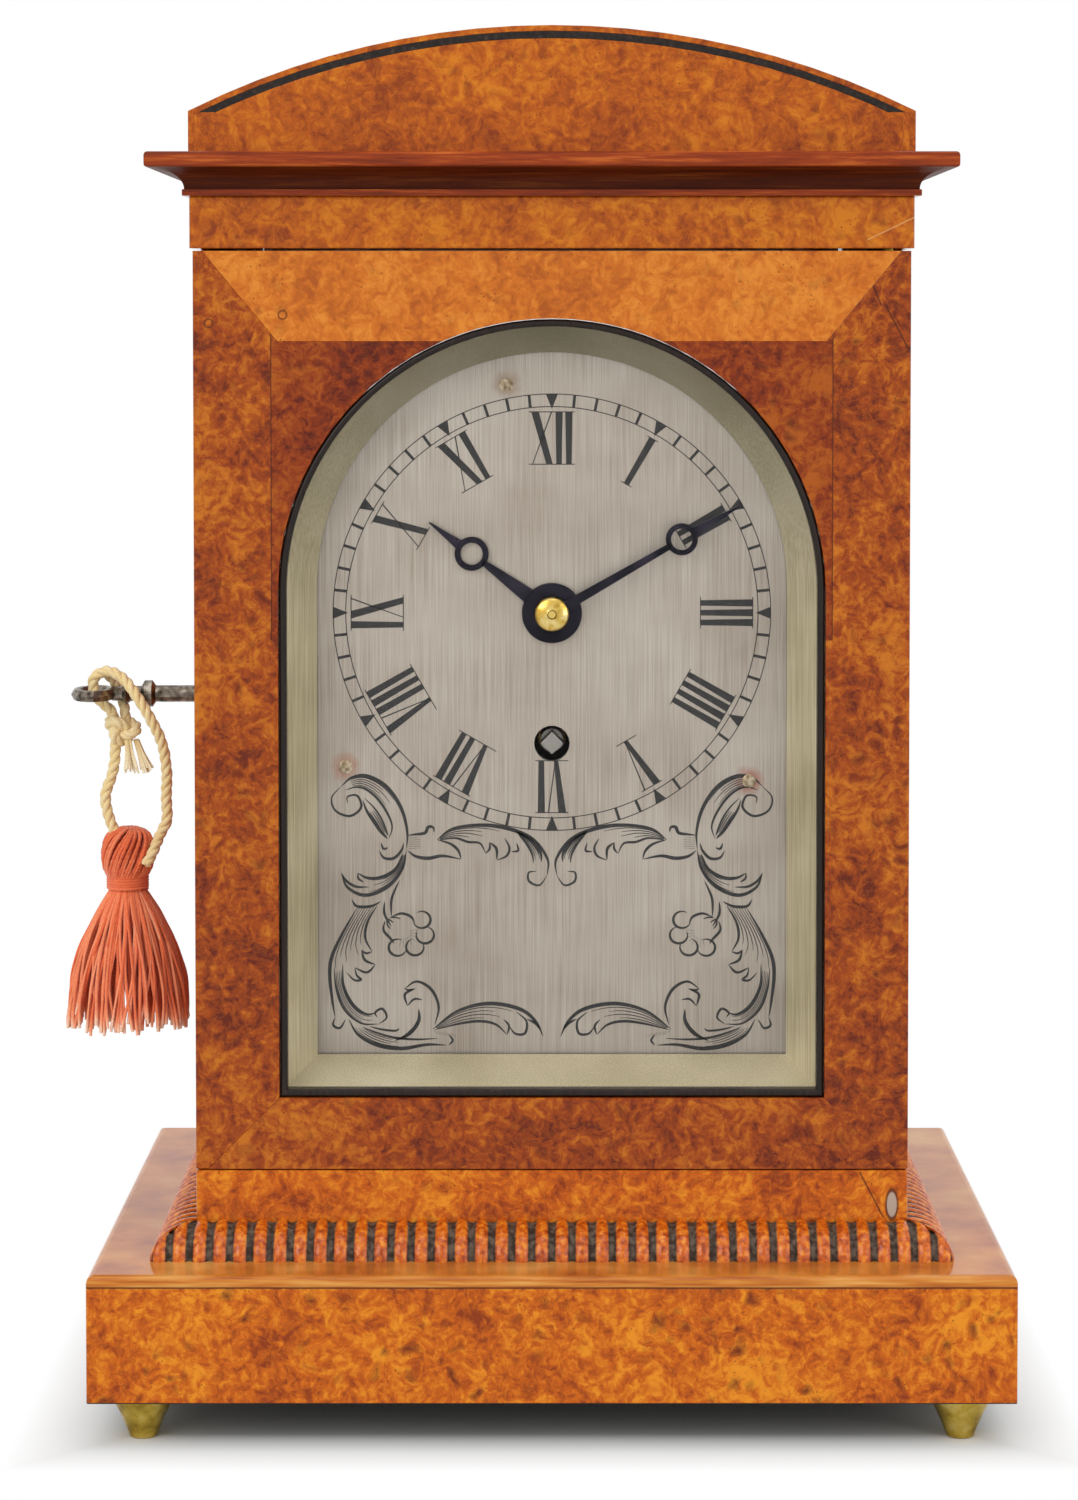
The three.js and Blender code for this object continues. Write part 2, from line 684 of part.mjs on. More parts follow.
function backDoorFrameGeometry() {
  const { x, front, back, bottom, top, rail } = BACK_DOOR;
  const nose = (back - front) / 2;
  const outline = new THREE.Shape();
  outline.moveTo(-x, front);
  outline.lineTo(backPin.x, front);
  outline.absarc(backPin.x, backPin.y, nose, -Math.PI / 2, Math.PI / 2, false);
  outline.lineTo(-x, back);
  outline.closePath();
  const slab = alongZ(outline, bottom, top, 6);
  const light = block([-x + rail, x - rail], [front - 1, back + 1], [bottom + rail, top - rail]);
  const seat = rail - 3;
  const rebate = block([-x + seat, x - seat], [front - 1, front + 4], [bottom + seat, top - seat]);
  const reach = BACK_PIN.reach + 0.6;
  const pins = [[bottom - 1, bottom + reach], [top - reach, top + 1]]
    .map(([z0, z1]) => rodZ(BACK_PIN.hole, z0, z1, 16).translate(backPin.x, backPin.y, 0));
  const bore = rodY(BACK_KNOB.shaft + 0.25, front - 1, back + 1, 14);
  return cut(slab, light, rebate, ...pins, bore.translate(knobPlace.x, 0, knobPlace.y));
}

function backGlassGeometry() {
  const { x, front, bottom, top, rail, glass: thickness } = BACK_DOOR;
  const edge = rail - 2.8;
  return block([-x + edge, x - edge], [front + 4 - thickness, front + 4], [bottom + edge, top - edge]);
}

// Flanged pivot pin, flange down; the upper one is the same pin turned over.
function backPinGeometry() {
  const { radius, flange, reach } = BACK_PIN;
  const end = BACK_DOOR.bottom - BASE_RAIL.top + reach;
  return turnedZ([[0, -1], [flange, -1], [flange, 0], [radius, 0], [radius, end], [0, end]], 16);
}

// Turned knob outside, shaft through the frame, and the tongue that turns down behind the base rail.
function backKnobGeometry() {
  const { ball, shaft } = BACK_KNOB;
  const { front, back, length, half } = TONGUE;
  const face = BACK_DOOR.back + 0.3;
  const inner = (front + back) / 2;
  const profile = [[0, inner], [shaft, inner], [shaft, face]];
  profile.push([3.2, face], [3.2, face + 0.8], [1.8, face + 2]);
  for (let step = 0; step <= 5; step += 1) {
    const angle = -0.9 + (step / 5) * (Math.PI / 2 + 0.9);
    profile.push([Math.max(0, ball * Math.cos(angle)), face + 5.2 + ball * 0.75 * Math.sin(angle)]);
  }
  const tongue = block([-half - 0.4, length], [front, back], [-half, half]);
  return join(turnedY(profile, 14), tongue);
}

function backDoorParts() {
  const { x, y } = backPin;
  const lower = at(piece('back_pivot_bottom', backPinGeometry(), brass), x, y, BASE_RAIL.top);
  const upper = at(piece('back_pivot_top', backPinGeometry(), brass), x, y, FRIEZE.bottom);
  upper.rotation.x = Math.PI;
  const knob = piece('back_door_knob', backKnobGeometry(), brass);
  return assembly(
    piece('back_door_frame', backDoorFrameGeometry(), oak),
    piece('back_door_glass', backGlassGeometry(), glass),
    lower,
    upper,
    at(knob, knobPlace.x, 0, knobPlace.y),
  );
}

// ---------------------------------------------------------------- lock and key

// Sheet-metal box, open towards the wooden side that it is screwed to.
function lockCaseGeometry() {
  const inner = -CASE.x + CASE.wall;
  const { front, back, halfHeight, depth, sheet } = LOCK;
  const z = KEY.z + 3;
  const box = block([inner, inner + depth], [front, back], [z - halfHeight, z + halfHeight]);
  const hollow = block(
    [inner - 1, inner + depth - sheet],
    [front + sheet, back - sheet],
    [z - halfHeight + sheet, z + halfHeight - sheet],
  );
  const slot = boltPlace(0.3);
  const mouth = block([slot.x[0], inner + depth - sheet], [front - 1, front + 3], slot.z);
  const [tip, root] = [inner + depth - sheet - 3, inner + depth - 0.4];
  const post = turnedX([[0, tip], [0.9, tip], [0.9, root], [0, root]], 10).translate(0, KEY.y, KEY.z);
  return join(cut(box, hollow, mouth), post);
}

function boltGeometry() {
  const { x, z } = boltPlace(0);
  return block(x, [LOCK.front + 0.1, LOCK.front + 0.1 + BOLT.length], z);
}

// Pipe key: an oval bow lying level, turned neck and collar, pipe and bit.
function keyGeometry() {
  const { shank, bowEnd, bowHalf, bowHalfWidth, wire } = KEY;
  const bow = new THREE.TorusGeometry(1, 0.2, 6, 18);
  const position = bow.attributes.position;
  for (let i = 0; i < position.count; i += 1) {
    const [x, y, z] = [position.getX(i), position.getY(i), position.getZ(i)];
    const around = Math.atan2(y, x);
    const out = (Math.hypot(x, y) - 1) / 0.2;
    const reachX = bowHalf - wire + wire * out;
    const reachY = bowHalfWidth - wire + wire * out;
    position.setXYZ(i, reachX * Math.cos(around), reachY * Math.sin(around), (z / 0.2) * wire);
  }
  bow.translate(bowEnd + bowHalf, 0, 0);
  const neck = bowEnd + 2 * bowHalf;
  const tip = -CASE.x + CASE.wall + 4.4;
  const stem = turnedX([
    [0, neck - 1], [1.5, neck - 1], [1.6, neck + 1.2], [2.3, neck + 2], [1.6, neck + 2.9], [1.6, neck + 5.2],
    [2.8, neck + 5.9], [2.8, neck + 7.5], [shank, neck + 8.2], [shank, tip], [0, tip],
  ], 10);
  const pipe = turnedX([[0, tip - 3.4], [1.1, tip - 3.4], [1.1, tip + 1], [0, tip + 1]], 8);
  const bit = block([tip - 3.2, tip - 0.4], [-0.8, 0.8], [-5, -1.2]);
  return cut(join(bow, stem, bit), pipe);
}

function lockParts() {
  return assembly(
    piece('lock_case', lockCaseGeometry(), steel),
    piece('lock_bolt', boltGeometry(), brass),
    at(piece('key', keyGeometry(), steel), 0, KEY.y, KEY.z),
  );
}

// ---------------------------------------------------------------- key cord and tassel

function cordGeometry(route, steps) {
  const path = new THREE.CatmullRomCurve3(route.map(([x, y, z]) => new THREE.Vector3(x, y, z)));
  const section = new THREE.Shape();
  for (let side = 0; side < 8; side += 1) {
    const angle = (side / 8) * tau;
    const [u, v] = [CORD_RADIUS * Math.cos(angle), CORD_RADIUS * Math.sin(angle)];
    if (side === 0) {
      section.moveTo(u, v);
    } else {
      section.lineTo(u, v);
    }
  }
  section.closePath();
  return new THREE.ExtrudeGeometry(section, { steps, bevelEnabled: false, extrudePath: path });
}

// The tied middle of the cord, with its two cut ends below.
function knotGeometry() {
  const knot = new THREE.SphereGeometry(1, 12, 7).scale(...KNOT.half).translate(KNOT.x, KEY.y, KNOT.z);
  const { x, z, top, bottom, length, lean } = CUT_ENDS;
  const ends = new THREE.CylinderGeometry(top, bottom, length, 8).rotateX(Math.PI / 2).rotateY(-lean)
    .translate(x, KEY.y - 0.8, z);
  return join(knot, ends);
}

function tasselGeometry() {
  const { bottom, skirt, neckBottom, neckTop, neck, head, top } = TASSEL;
  const profile = [[0, bottom], [skirt, bottom]];
  for (let step = 1; step <= 6; step += 1) {
    const t = step / 6;
    profile.push([neck + (skirt - neck) * (1 - t ** 1.4), bottom + (neckBottom - bottom) * t]);
  }
  profile.push([neck, neckTop]);
  for (let step = 1; step <= 6; step += 1) {
    const angle = -0.9 + (step / 6) * (Math.PI / 2 + 0.9);
    profile.push([Math.max(0, head * Math.cos(angle)), top - 4.2 + 4.2 * Math.sin(angle)]);
  }
  return turnedZ(profile, 16).translate(TASSEL.x, KEY.y, 0);
}

function tasselParts() {
  return assembly(
    piece('cord_left', cordGeometry(LEFT_ROUTE, 7), cordSilk),
    piece('cord_right', cordGeometry(RIGHT_ROUTE, 18), cordSilk),
    piece('cord_knot', knotGeometry(), cordSilk),
    piece('tassel', tasselGeometry(), tasselSilk),
  );
}

// ---------------------------------------------------------------- toothed wheels

// Train wheel: tapering teeth with short flat tips, one tooth centred on the phase angle.
function wheelOutline(teeth, module, phase) {
  const radius = (teeth * module) / 2;
  const pitch = tau / teeth;
  const shape = new THREE.Shape();
  for (let tooth = 0; tooth < teeth; tooth += 1) {
    const centre = phase + tooth * pitch;
    const corners = [
      [radius - 1.35 * module, -0.5],
      [radius + 0.8 * module, -0.09],
      [radius + 0.8 * module, 0.09],
    ];
    for (const [r, share] of corners) {
      const angle = centre + share * pitch;
      const [x, y] = [r * Math.cos(angle), r * Math.sin(angle)];
      if (tooth === 0 && share === -0.5) {
        shape.moveTo(x, y);
      } else {
        shape.lineTo(x, y);
      }
    }
  }
  shape.closePath();
  return shape;
}

// Pinion: leaves with radial flanks and pointed tips, one leaf centred on the phase angle.
function pinionOutline(leaves, module, phase) {
  const radius = (leaves * module) / 2;
  const pitch = tau / leaves;
  const shape = new THREE.Shape();
  for (let leaf = 0; leaf < leaves; leaf += 1) {
    const centre = phase + leaf * pitch;
    const corners = [
      [radius - 1.5 * module, -0.2],
      [radius, -0.13],
      [radius + 0.5 * module, 0],
      [radius, 0.13],
      [radius - 1.5 * module, 0.2],
    ];
    for (const [r, share] of corners) {
      const angle = centre + share * pitch;
      const [x, y] = [r * Math.cos(angle), r * Math.sin(angle)];
      if (leaf === 0 && share === -0.2) {
        shape.moveTo(x, y);
      } else {
        shape.lineTo(x, y);
      }
    }
  }
  shape.closePath();
  return shape;
}

// Escape wheel: raked teeth with radial fronts.
function escapeOutline() {
  const { teeth, tip, root } = ESCAPE;
  const pitch = tau / teeth;
  const points = [];
  for (let tooth = 0; tooth < teeth; tooth += 1) {
    const start = tooth * pitch;
    points.push([root * Math.cos(start), root * Math.sin(start)]);
    points.push([tip * Math.cos(start + 0.1 * pitch), tip * Math.sin(start + 0.1 * pitch)]);
    points.push([root * Math.cos(start + 0.72 * pitch), root * Math.sin(start + 0.72 * pitch)]);
  }
  return polygon(points);
}

// The openings between the arms of a crossed-out wheel.
function crossings(arms, hub, rim, armHalf) {
  return Array.from({ length: arms }, (_, arm) => {
    const from = (arm / arms) * tau;
    const to = ((arm + 1) / arms) * tau;
    const hole = new THREE.Path();
    const outerEase = Math.asin(armHalf / rim);
    const innerEase = Math.asin(armHalf / hub);
    const outerSteps = 4;
    for (let i = 0; i <= outerSteps; i += 1) {
      const angle = from + outerEase + ((to - from - 2 * outerEase) * i) / outerSteps;
      const [x, y] = [rim * Math.cos(angle), rim * Math.sin(angle)];
      if (i === 0) {
        hole.moveTo(x, y);
      } else {
        hole.lineTo(x, y);
      }
    }
    for (const angle of [to - innerEase, from + innerEase]) {
      hole.lineTo(hub * Math.cos(angle), hub * Math.sin(angle));
    }
    hole.closePath();
    return hole;
  });
}

function toothed(outline, [y0, y1], holes = []) {
  outline.holes.push(...holes);
  return alongY(outline, y0, y1);
}

// ---------------------------------------------------------------- movement

const centre = point(0, DIAL.centreZ);
const fuseeArbor = point(0, DIAL.centreZ - ((GREAT.teeth + CENTRE.leaves) * GREAT.module) / 2);
const centreToThird = ((CENTRE.teeth + THIRD.leaves) * CENTRE.module) / 2;
const third = point(THIRD.x, centre.y + Math.sqrt(centreToThird ** 2 - THIRD.x ** 2));
const thirdToEscape = ((THIRD.teeth + ESCAPE.leaves) * THIRD.module) / 2;
const escape = point(0, third.y + Math.sqrt(thirdToEscape ** 2 - THIRD.x ** 2));
const pallets = point(0, escape.y + ANCHOR.above);
const barrel = point(BARREL.x, BARREL.z);
const motionDistance = ((MOTION.cannon + MOTION.minute) * MOTION.module) / 2;
const minuteArbor = point(MOTION.x, centre.y + Math.sqrt(motionDistance ** 2 - MOTION.x ** 2));
const hourModule = (2 * motionDistance) / (MOTION.minutePinion + MOTION.hour);

function directionOf(from, to) {
  return Math.atan2(to.y - from.y, to.x - from.x);
}

// The driven gear has a gap, not a tooth, where the driving tooth comes in.
function gapPhase(from, to, teeth) {
  return directionOf(from, to) + Math.PI + Math.PI / teeth;
}

// An arbor with a pivot at each end; collars are [radius, y] pairs between them.
function arborGeometry(radius, y0, y1, shape = []) {
  const reach = 1.6;
  return turnedY([
    [0, y0 - reach], [PIVOT.radius, y0 - reach], [PIVOT.radius, y0 + 0.3], [radius, y0 + 0.3],
    ...shape,
    [radius, y1 - 0.3], [PIVOT.radius, y1 - 0.3], [PIVOT.radius, y1 + reach], [0, y1 + reach],
  ], 8);
}

function pivotHoles(places) {
  return places.map(({ x, y }) => {
    const hole = new THREE.Path();
    hole.absarc(x, y, PIVOT.hole, 0, tau, true);
    return hole;
  });
}

function plateOutline() {
  const { half, bottom, shoulder, top } = PLATES;
  const shape = new THREE.Shape();
  shape.moveTo(-half, bottom);
  shape.lineTo(half, bottom);
  shape.lineTo(half, shoulder);
  shape.quadraticCurveTo(half - 2, shoulder + 12, half - 18, shoulder + 12);
  shape.lineTo(half - 24, top);
  shape.lineTo(-half + 24, top);
  shape.lineTo(-half + 18, shoulder + 12);
  shape.quadraticCurveTo(-half + 2, shoulder + 12, -half, shoulder);
  shape.closePath();
  return shape;
}

function frontPlateGeometry() {
  const outline = plateOutline();
  const wide = new THREE.Path();
  wide.absarc(centre.x, centre.y, 2.6, 0, tau, true);
  const winding = new THREE.Path();
  winding.absarc(fuseeArbor.x, fuseeArbor.y, 3, 0, tau, true);
  const tenons = PILLARS.map(([x, z]) => {
    const hole = new THREE.Path();
    hole.absarc(x, z, 1.75, 0, tau, true);
    return hole;
  });
  outline.holes.push(...pivotHoles([third, escape, pallets, barrel]), wide, winding, ...tenons);
  return alongY(outline, PLATES.front, BETWEEN.front, 5);
}

// Pillars are riveted into the back plate; their tenons pass the front plate and are pinned there.
function backPlateGeometry() {
  const outline = plateOutline();
  outline.holes.push(...pivotHoles([third, escape, centre, fuseeArbor, barrel]));
  const slot = new THREE.Path();
  slot.absarc(pallets.x, pallets.y, 4, 0, tau, true);
  outline.holes.push(slot);
  const plate = alongY(outline, BETWEEN.back, BETWEEN.back + PLATES.thickness, 5);
  const [y0, y1] = [BETWEEN.front, BETWEEN.back + 0.5];
  const middle = (y0 + y1) / 2;
  const profile = [
    [0, y0 - 4],
    [1.5, y0 - 4],
    [1.5, y0],
    [4, y0],
    [2.6, y0 + 3.5],
    [3.6, middle],
    [2.6, y1 - 3.5],
    [4, y1],
    [0, y1],
  ];
  const pillars = PILLARS.map(([x, z]) => turnedY(profile, 8).translate(x, 0, z));
  return join(plate, ...pillars);
}

// Oak board that carries the movement, on two cleats against the sides.
function seatboardGeometry() {
  const { front, back, bottom, cleat, cleatBottom } = SEATBOARD;
  const half = CASE.x - CASE.wall - 0.2;
  const board = block([-half, half], [front, back], [bottom, PLATES.bottom]);
  const cleats = [[-half, -half + cleat], [half - cleat, half]]
    .map((across) => block(across, [front + 2, back - 1], [cleatBottom, bottom + 0.5]));
  return join(board, ...cleats);
}

// Grooved fusee cone, the great wheel beside it, and the arbor with its winding square.
function fuseeGeometry() {
  const { small, large, front, back, turns, groove } = FUSEE;
  const length = back - front;
  const cone = [[0, front], [small - 1.2, front]];
  for (let turn = 0; turn < turns; turn += 1) {
    const t = (turn + 0.5) / turns;
    const y = front + length * t;
    const radius = small + (large - small) * t ** 1.6;
    const half = length / turns / 2;
    cone.push([radius, y - half * 0.5], [radius - groove, y + half * 0.5]);
  }
  cone.push([large + 0.4, back], [0, back]);
  const great = wheelOutline(GREAT.teeth, GREAT.module, directionOf(fuseeArbor, centre));
  const wheel = toothed(great, STATION.greatWheel, crossings(4, 6.5, 21.5, 1.6));
  const hub = rodY(5, back - 0.5, STATION.greatWheel[0] + 0.4, 10);
  const arbor = arborGeometry(2, BETWEEN.front, BETWEEN.back);
  const sleeve = rodY(2.4, BETWEEN.front - 6, front + 0.5, 14);
  const half = WINDING.square / 2;
  const reach = [DIAL.front + 0.4, BETWEEN.front - 5.5];
  const square = block([-half, half], reach, [-half, half]).rotateY(Math.PI / 4);
  return join(turnedY(cone, 15), wheel, arbor, sleeve, square, hub);
}

function barrelGeometry() {
  const { radius, front, back } = BARREL;
  const drum = turnedY([
    [0, front], [radius + 1, front], [radius + 1, front + 1.2], [radius, front + 1.2], [radius, back - 1.2],
    [radius + 1, back - 1.2], [radius + 1, back], [0, back],
  ], 20);
  return join(drum, arborGeometry(2.2, BETWEEN.front, BETWEEN.back));
}

// Middle line of the gut: coiled on the barrel, then straight to the fusee's large end and round it.
function gutLinePoints() {
  const { radius, clear, turns, pitch, start, perTurn } = LINE;
  const onBarrel = BARREL.radius + radius + clear;
  const across = fuseeArbor.clone().sub(barrel);
  const leave = Math.atan2(across.y, across.x) + Math.acos((onBarrel - LINE_END.reach) / across.length());
  const spot = (middle, reach, angle, y) =>
    new THREE.Vector3(middle.x + reach * Math.cos(angle), y, middle.y + reach * Math.sin(angle));
  const points = [];
  for (let step = 0; step < turns * perTurn; step += 1) {
    const turn = step / perTurn;
    points.push(spot(barrel, onBarrel, leave + (turns - turn) * tau, start + pitch * turn));
  }
  const off = spot(barrel, onBarrel, leave, start + pitch * turns);
  const on = spot(fuseeArbor, LINE_END.reach, leave, LINE_END.y);
  const crossing = 6;
  for (let step = 0; step < crossing; step += 1) {
    points.push(off.clone().lerp(on, step / crossing));
  }
  for (let step = 0; step <= LINE_END.steps; step += 1) {
    const angle = leave - (step / LINE_END.perTurn) * tau;
    points.push(spot(fuseeArbor, LINE_END.reach, angle, LINE_END.y));
  }
  return points;
}

// Least free distance between stretches of the line that are half a turn or more apart.
function leastGap(points) {
  let least = Infinity;
  for (let i = 0; i < points.length; i += 1) {
    for (let j = i + LINE.perTurn / 2; j < points.length; j += 1) {
      least = Math.min(least, points[i].distanceTo(points[j]) - 2 * LINE.radius);
    }
  }
  return least;
}

function gutLineGeometry() {
  const points = gutLinePoints();
  console.log(`gut line: least gap to itself ${leastGap(points).toFixed(2)} mm`);
  const rings = points.map((here, i) => {
    const before = points[Math.max(0, i - 1)];
    const after = points[Math.min(points.length - 1, i + 1)];
    const along = after.clone().sub(before).normalize();
    const side = new THREE.Vector3(0, 1, 0).cross(along).normalize();
    const up = along.clone().cross(side);
    return Array.from({ length: LINE.sides }, (_, k) => {
      const angle = (k / LINE.sides) * tau;
      const out = side.clone().multiplyScalar(Math.cos(angle)).addScaledVector(up, Math.sin(angle));
      return here.clone().addScaledVector(out, LINE.radius).toArray();
    });
  });
  return loft(rings);
}

function centreArborGeometry() {
  const wheelShape = wheelOutline(CENTRE.teeth, CENTRE.module, directionOf(centre, third));
  const wheel = toothed(wheelShape, STATION.centreWheel, crossings(4, 3.6, 13.6, 1.2));
  const leaves = pinionOutline(CENTRE.leaves, GREAT.module, gapPhase(fuseeArbor, centre, CENTRE.leaves));
  const pinion = toothed(leaves, STATION.centrePinion);
  const { front, back } = BETWEEN;
  const tip = DIAL.front - 5.3;
  const end = back + 1.5;
  const arbor = turnedY([
    [0, tip],
    [0.8, tip],
    [0.8, front - 12],
    [1, front - 3],
    [1.5, front + 0.4],
    [1.25, STATION.centrePinion[0] - 1],
    [1.25, back - 0.4],
    [PIVOT.radius, back - 0.4],
    [PIVOT.radius, end],
    [0, end],
  ], 10);
  const hub = rodY(3, STATION.centreWheel[1] - 0.4, STATION.centreWheel[1] + 1.8, 8);
  return join(arbor, wheel, pinion, hub);
}

// A thin arbor with a wheel, the hub behind it, and a pinion.
function trainArborGeometry(wheel, hub, pinion) {
  return join(arborGeometry(0.78, BETWEEN.front, BETWEEN.back), wheel, hub, pinion);
}

function thirdGeometry() {
  const outline = wheelOutline(THIRD.teeth, THIRD.module, directionOf(third, escape));
  const wheel = toothed(outline, STATION.thirdWheel, crossings(4, 3, 10.4, 1));
  const leaves = pinionOutline(THIRD.leaves, CENTRE.module, gapPhase(centre, third, THIRD.leaves));
  const [near, far] = STATION.thirdWheel;
  const hub = rodY(2.4, near - 1, far + 1.1, 8);
  return trainArborGeometry(wheel, hub, toothed(leaves, STATION.thirdPinion));
}

function escapeGeometry() {
  const wheel = toothed(escapeOutline(), STATION.escapeWheel, crossings(4, 2.6, 7.6, 0.9));
  const leaves = pinionOutline(ESCAPE.leaves, THIRD.module, gapPhase(third, escape, ESCAPE.leaves));
  const [near, far] = STATION.escapeWheel;
  const hub = rodY(2.1, near - 0.6, far + 1.1, 8);
  return trainArborGeometry(wheel, hub, toothed(leaves, STATION.escapePinion));
}

// Recoil anchor: two curved arms with pallet faces over the escape wheel, arbor and crutch.
function anchorGeometry() {
  const { clear, spread, front, back, crutch: drop } = ANCHOR;
  const angle = THREE.MathUtils.degToRad(spread);
  const faceX = (ESCAPE.tip + clear) * Math.sin(angle);
  const faceZ = escape.y - pallets.y + (ESCAPE.tip + clear) * Math.cos(angle);
  const right = [
    [3.2, -1.6],
    [faceX - 0.9, faceZ + 2.4],
    [faceX - 0.2, faceZ + 0.3],
    [faceX + 1.9, faceZ - 1.2],
    [faceX + 2, faceZ + 3.4],
    [3, 2.3],
  ];
  const left = right.map(([x, z]) => [-x, z]).reverse();
  const arms = alongY(polygon([...right, ...left]), front, back);
  const start = BETWEEN.front;
  const hang = BETWEEN.back + PLATES.thickness + 1.4;
  const arbor = turnedY([
    [0, start - 1.6],
    [PIVOT.radius, start - 1.6],
    [PIVOT.radius, start + 0.3],
    [1.1, start + 0.3],
    [1.1, hang + 2],
    [PIVOT.radius, hang + 2],
    [PIVOT.radius, hang + 4.4],
    [0, hang + 4.4],
  ], 12);
  const crutch = block([-0.9, 0.9], [hang, hang + 1.2], [-drop, 1.8]);
  const foot = block([-2.6, 2.6], [hang, hang + 1.2], [-drop - 1.4, -drop]);
  const tineHeight = [-drop - 1.4, -drop + 0.4];
  const fork = [-2.1, 2.1].map((x) => block([x - 0.5, x + 0.5], [hang + 0.3, hang + 7], tineHeight));
  return join(arms, arbor, crutch, foot, ...fork);
}

// Cock on the back plate: carries the anchor's back pivot, and the pendulum's suspension above it.
function backCockGeometry() {
  const { half, foot, bridge, stand, slit: slitHalf } = COCK;
  const start = BETWEEN.back + PLATES.thickness;
  const z = pallets.y;
  const height = [z - 4, z + 4];
  const span = block([-half, half], [start + stand, start + stand + bridge], height);
  const feet = [[-half, -half + foot], [half - foot, half]]
    .map((across) => block(across, [start, start + stand + 0.6], height));
  const pivot = rodY(PIVOT.hole, start + 3, start + 9.6, 12).translate(0, 0, z);
  const chops = block([-3, 3], [start + 5, start + 9], [z + 3, z + 8]);
  const slit = block([-slitHalf, slitHalf], [start + 4.2, start + 10], [z + 2.4, z + 9]);
  return cut(join(span, ...feet, chops), pivot, slit);
}

// Spring, rod, bob and the threaded end that the rating nut turns on.
function pendulumGeometry() {
  const { length, bob, thickness, rod, springEnd, top } = PENDULUM;
  const half = thickness / 2;
  const spring = block([-0.15, 0.15], [-0.35, 1.2], [springEnd, top]);
  const clamp = block([-1.3, 1.3], [-1, 1.6], [springEnd - 3, springEnd + 1]);
  const stem = rodZ(rod, -length - bob - 9, springEnd - 2, 10);
  const lens = [[0, -half]];
  for (let step = 1; step < 6; step += 1) {
    const angle = -Math.PI / 2 + (step / 6) * Math.PI;
    lens.push([bob * Math.cos(angle) ** 0.55, half * Math.sin(angle)]);
  }
  lens.push([0, half]);
  return join(spring, clamp, stem, turnedY(lens, 16).translate(0, 0, -length));
}

function ratingNutGeometry() {
  const { length, bob, rod } = PENDULUM;
  const { radius, height, below } = RATING_NUT;
  const top = -length - bob - below;
  const bottom = top - height;
  const rim = radius - 0.6;
  const profile = [[0, bottom], [rim, bottom], [radius, bottom + 0.5]];
  profile.push([radius, top - 0.6], [rim, top], [0, top]);
  return cut(turnedZ(profile, 16), rodZ(rod + 0.35, bottom - 1.6, top + 1, 12));
}

// ---------------------------------------------------------------- motion work, dial and hands

function cannonGeometry() {
  const leaves = pinionOutline(MOTION.cannon, MOTION.module, gapPhase(minuteArbor, centre, MOTION.cannon));
  const pinion = toothed(leaves, STATION.cannonPinion);
  const pipe = rodY(2.2, DIAL.front - 4.4, STATION.cannonPinion[1], 12);
  return cut(join(pinion, pipe), rodY(1.25, DIAL.front - 6, 0, 12));
}

function minuteWheelGeometry() {
  const outline = wheelOutline(MOTION.minute, MOTION.module, directionOf(minuteArbor, centre));
  const wheel = toothed(outline, STATION.minuteWheel, crossings(3, 4.6, 8.2, 1.1));
  const phase = gapPhase(centre, minuteArbor, MOTION.minutePinion);
  const pinion = toothed(pinionOutline(MOTION.minutePinion, hourModule, phase), STATION.minutePinion);
  return cut(join(wheel, pinion), rodY(1.1, -40, 0, 12));
}

function hourWheelGeometry() {
  const outline = wheelOutline(MOTION.hour, hourModule, directionOf(centre, minuteArbor));
  const wheel = toothed(outline, STATION.hourWheel, crossings(4, 5, 9.2, 1.2));
  const pipe = rodY(3.3, DIAL.front - 1.7, STATION.hourWheel[1], 12);
  return cut(join(wheel, pipe), rodY(2.55, -60, 0, 12));
}

// Stud that the minute wheel turns on is part of the front plate's own node.
function minuteStud() {
  const tip = STATION.minutePinion[0] - 0.4;
  return rodY(0.8, tip, PLATES.front + 0.4, 12).translate(minuteArbor.x, 0, minuteArbor.y);
}

function dialGeometry() {
  const { half, bottom, front, thickness, centreZ } = DIAL;
  const outline = polygon([[-half, bottom], [half, bottom], ...headArc(half, 0, Math.PI, 28)]);
  const holes = [[centreZ, DIAL.hole], [WINDING.z, WINDING.hole]].map(([z, radius]) => {
    const hole = new THREE.Path();
    hole.absarc(0, z, radius, 0, tau, true);
    return hole;
  });
  outline.holes.push(...holes);
  const plate = alongY(outline, front, front + thickness, 9);
  const root = front + thickness - 0.4;
  const posts = DIAL_FEET.map(([x, z]) => rodY(1.6, root, PLATES.front, 8).translate(x, 0, z));
  return join(plate, ...posts);
}

// A hand with a ring near its tip, drawn pointing to twelve.
function handGeometry({ length, ring, outer, inner, boss }, y0, y1, bore) {
  const blade = (from, to, fromHalf, toHalf) =>
    alongY(polygon([[-fromHalf, from], [fromHalf, from], [toHalf, to], [-toHalf, to]]), y0, y1);
  const shaft = blade(boss * 0.8, ring - inner - 0.4, boss * 0.2 + 0.4, 0.75);
  const tip = blade(ring + inner + 0.3, length, 1, 0.25);
  const plates = [disc(boss), disc(outer, 0, ring)].map((shape) => alongY(shape, y0, y1, 8));
  const holes = [disc(bore), disc(inner, 0, ring)].map((shape) => alongY(shape, y0 - 1, y1 + 1, 7));
  return cut(join(...plates, shaft, tip), ...holes);
}

// Turned washer under the hand pin, domed towards the front.
function colletGeometry(face) {
  const { outer, bore, rise } = COLLET;
  const profile = [[bore, face], [outer, face]];
  for (let step = 1; step <= 4; step += 1) {
    const angle = (step / 4) * 1.25;
    profile.push([outer * Math.cos(angle), face - rise * Math.sin(angle)]);
  }
  profile.push([bore, face - rise], [bore, face]);
  return turnedY(profile, 20);
}

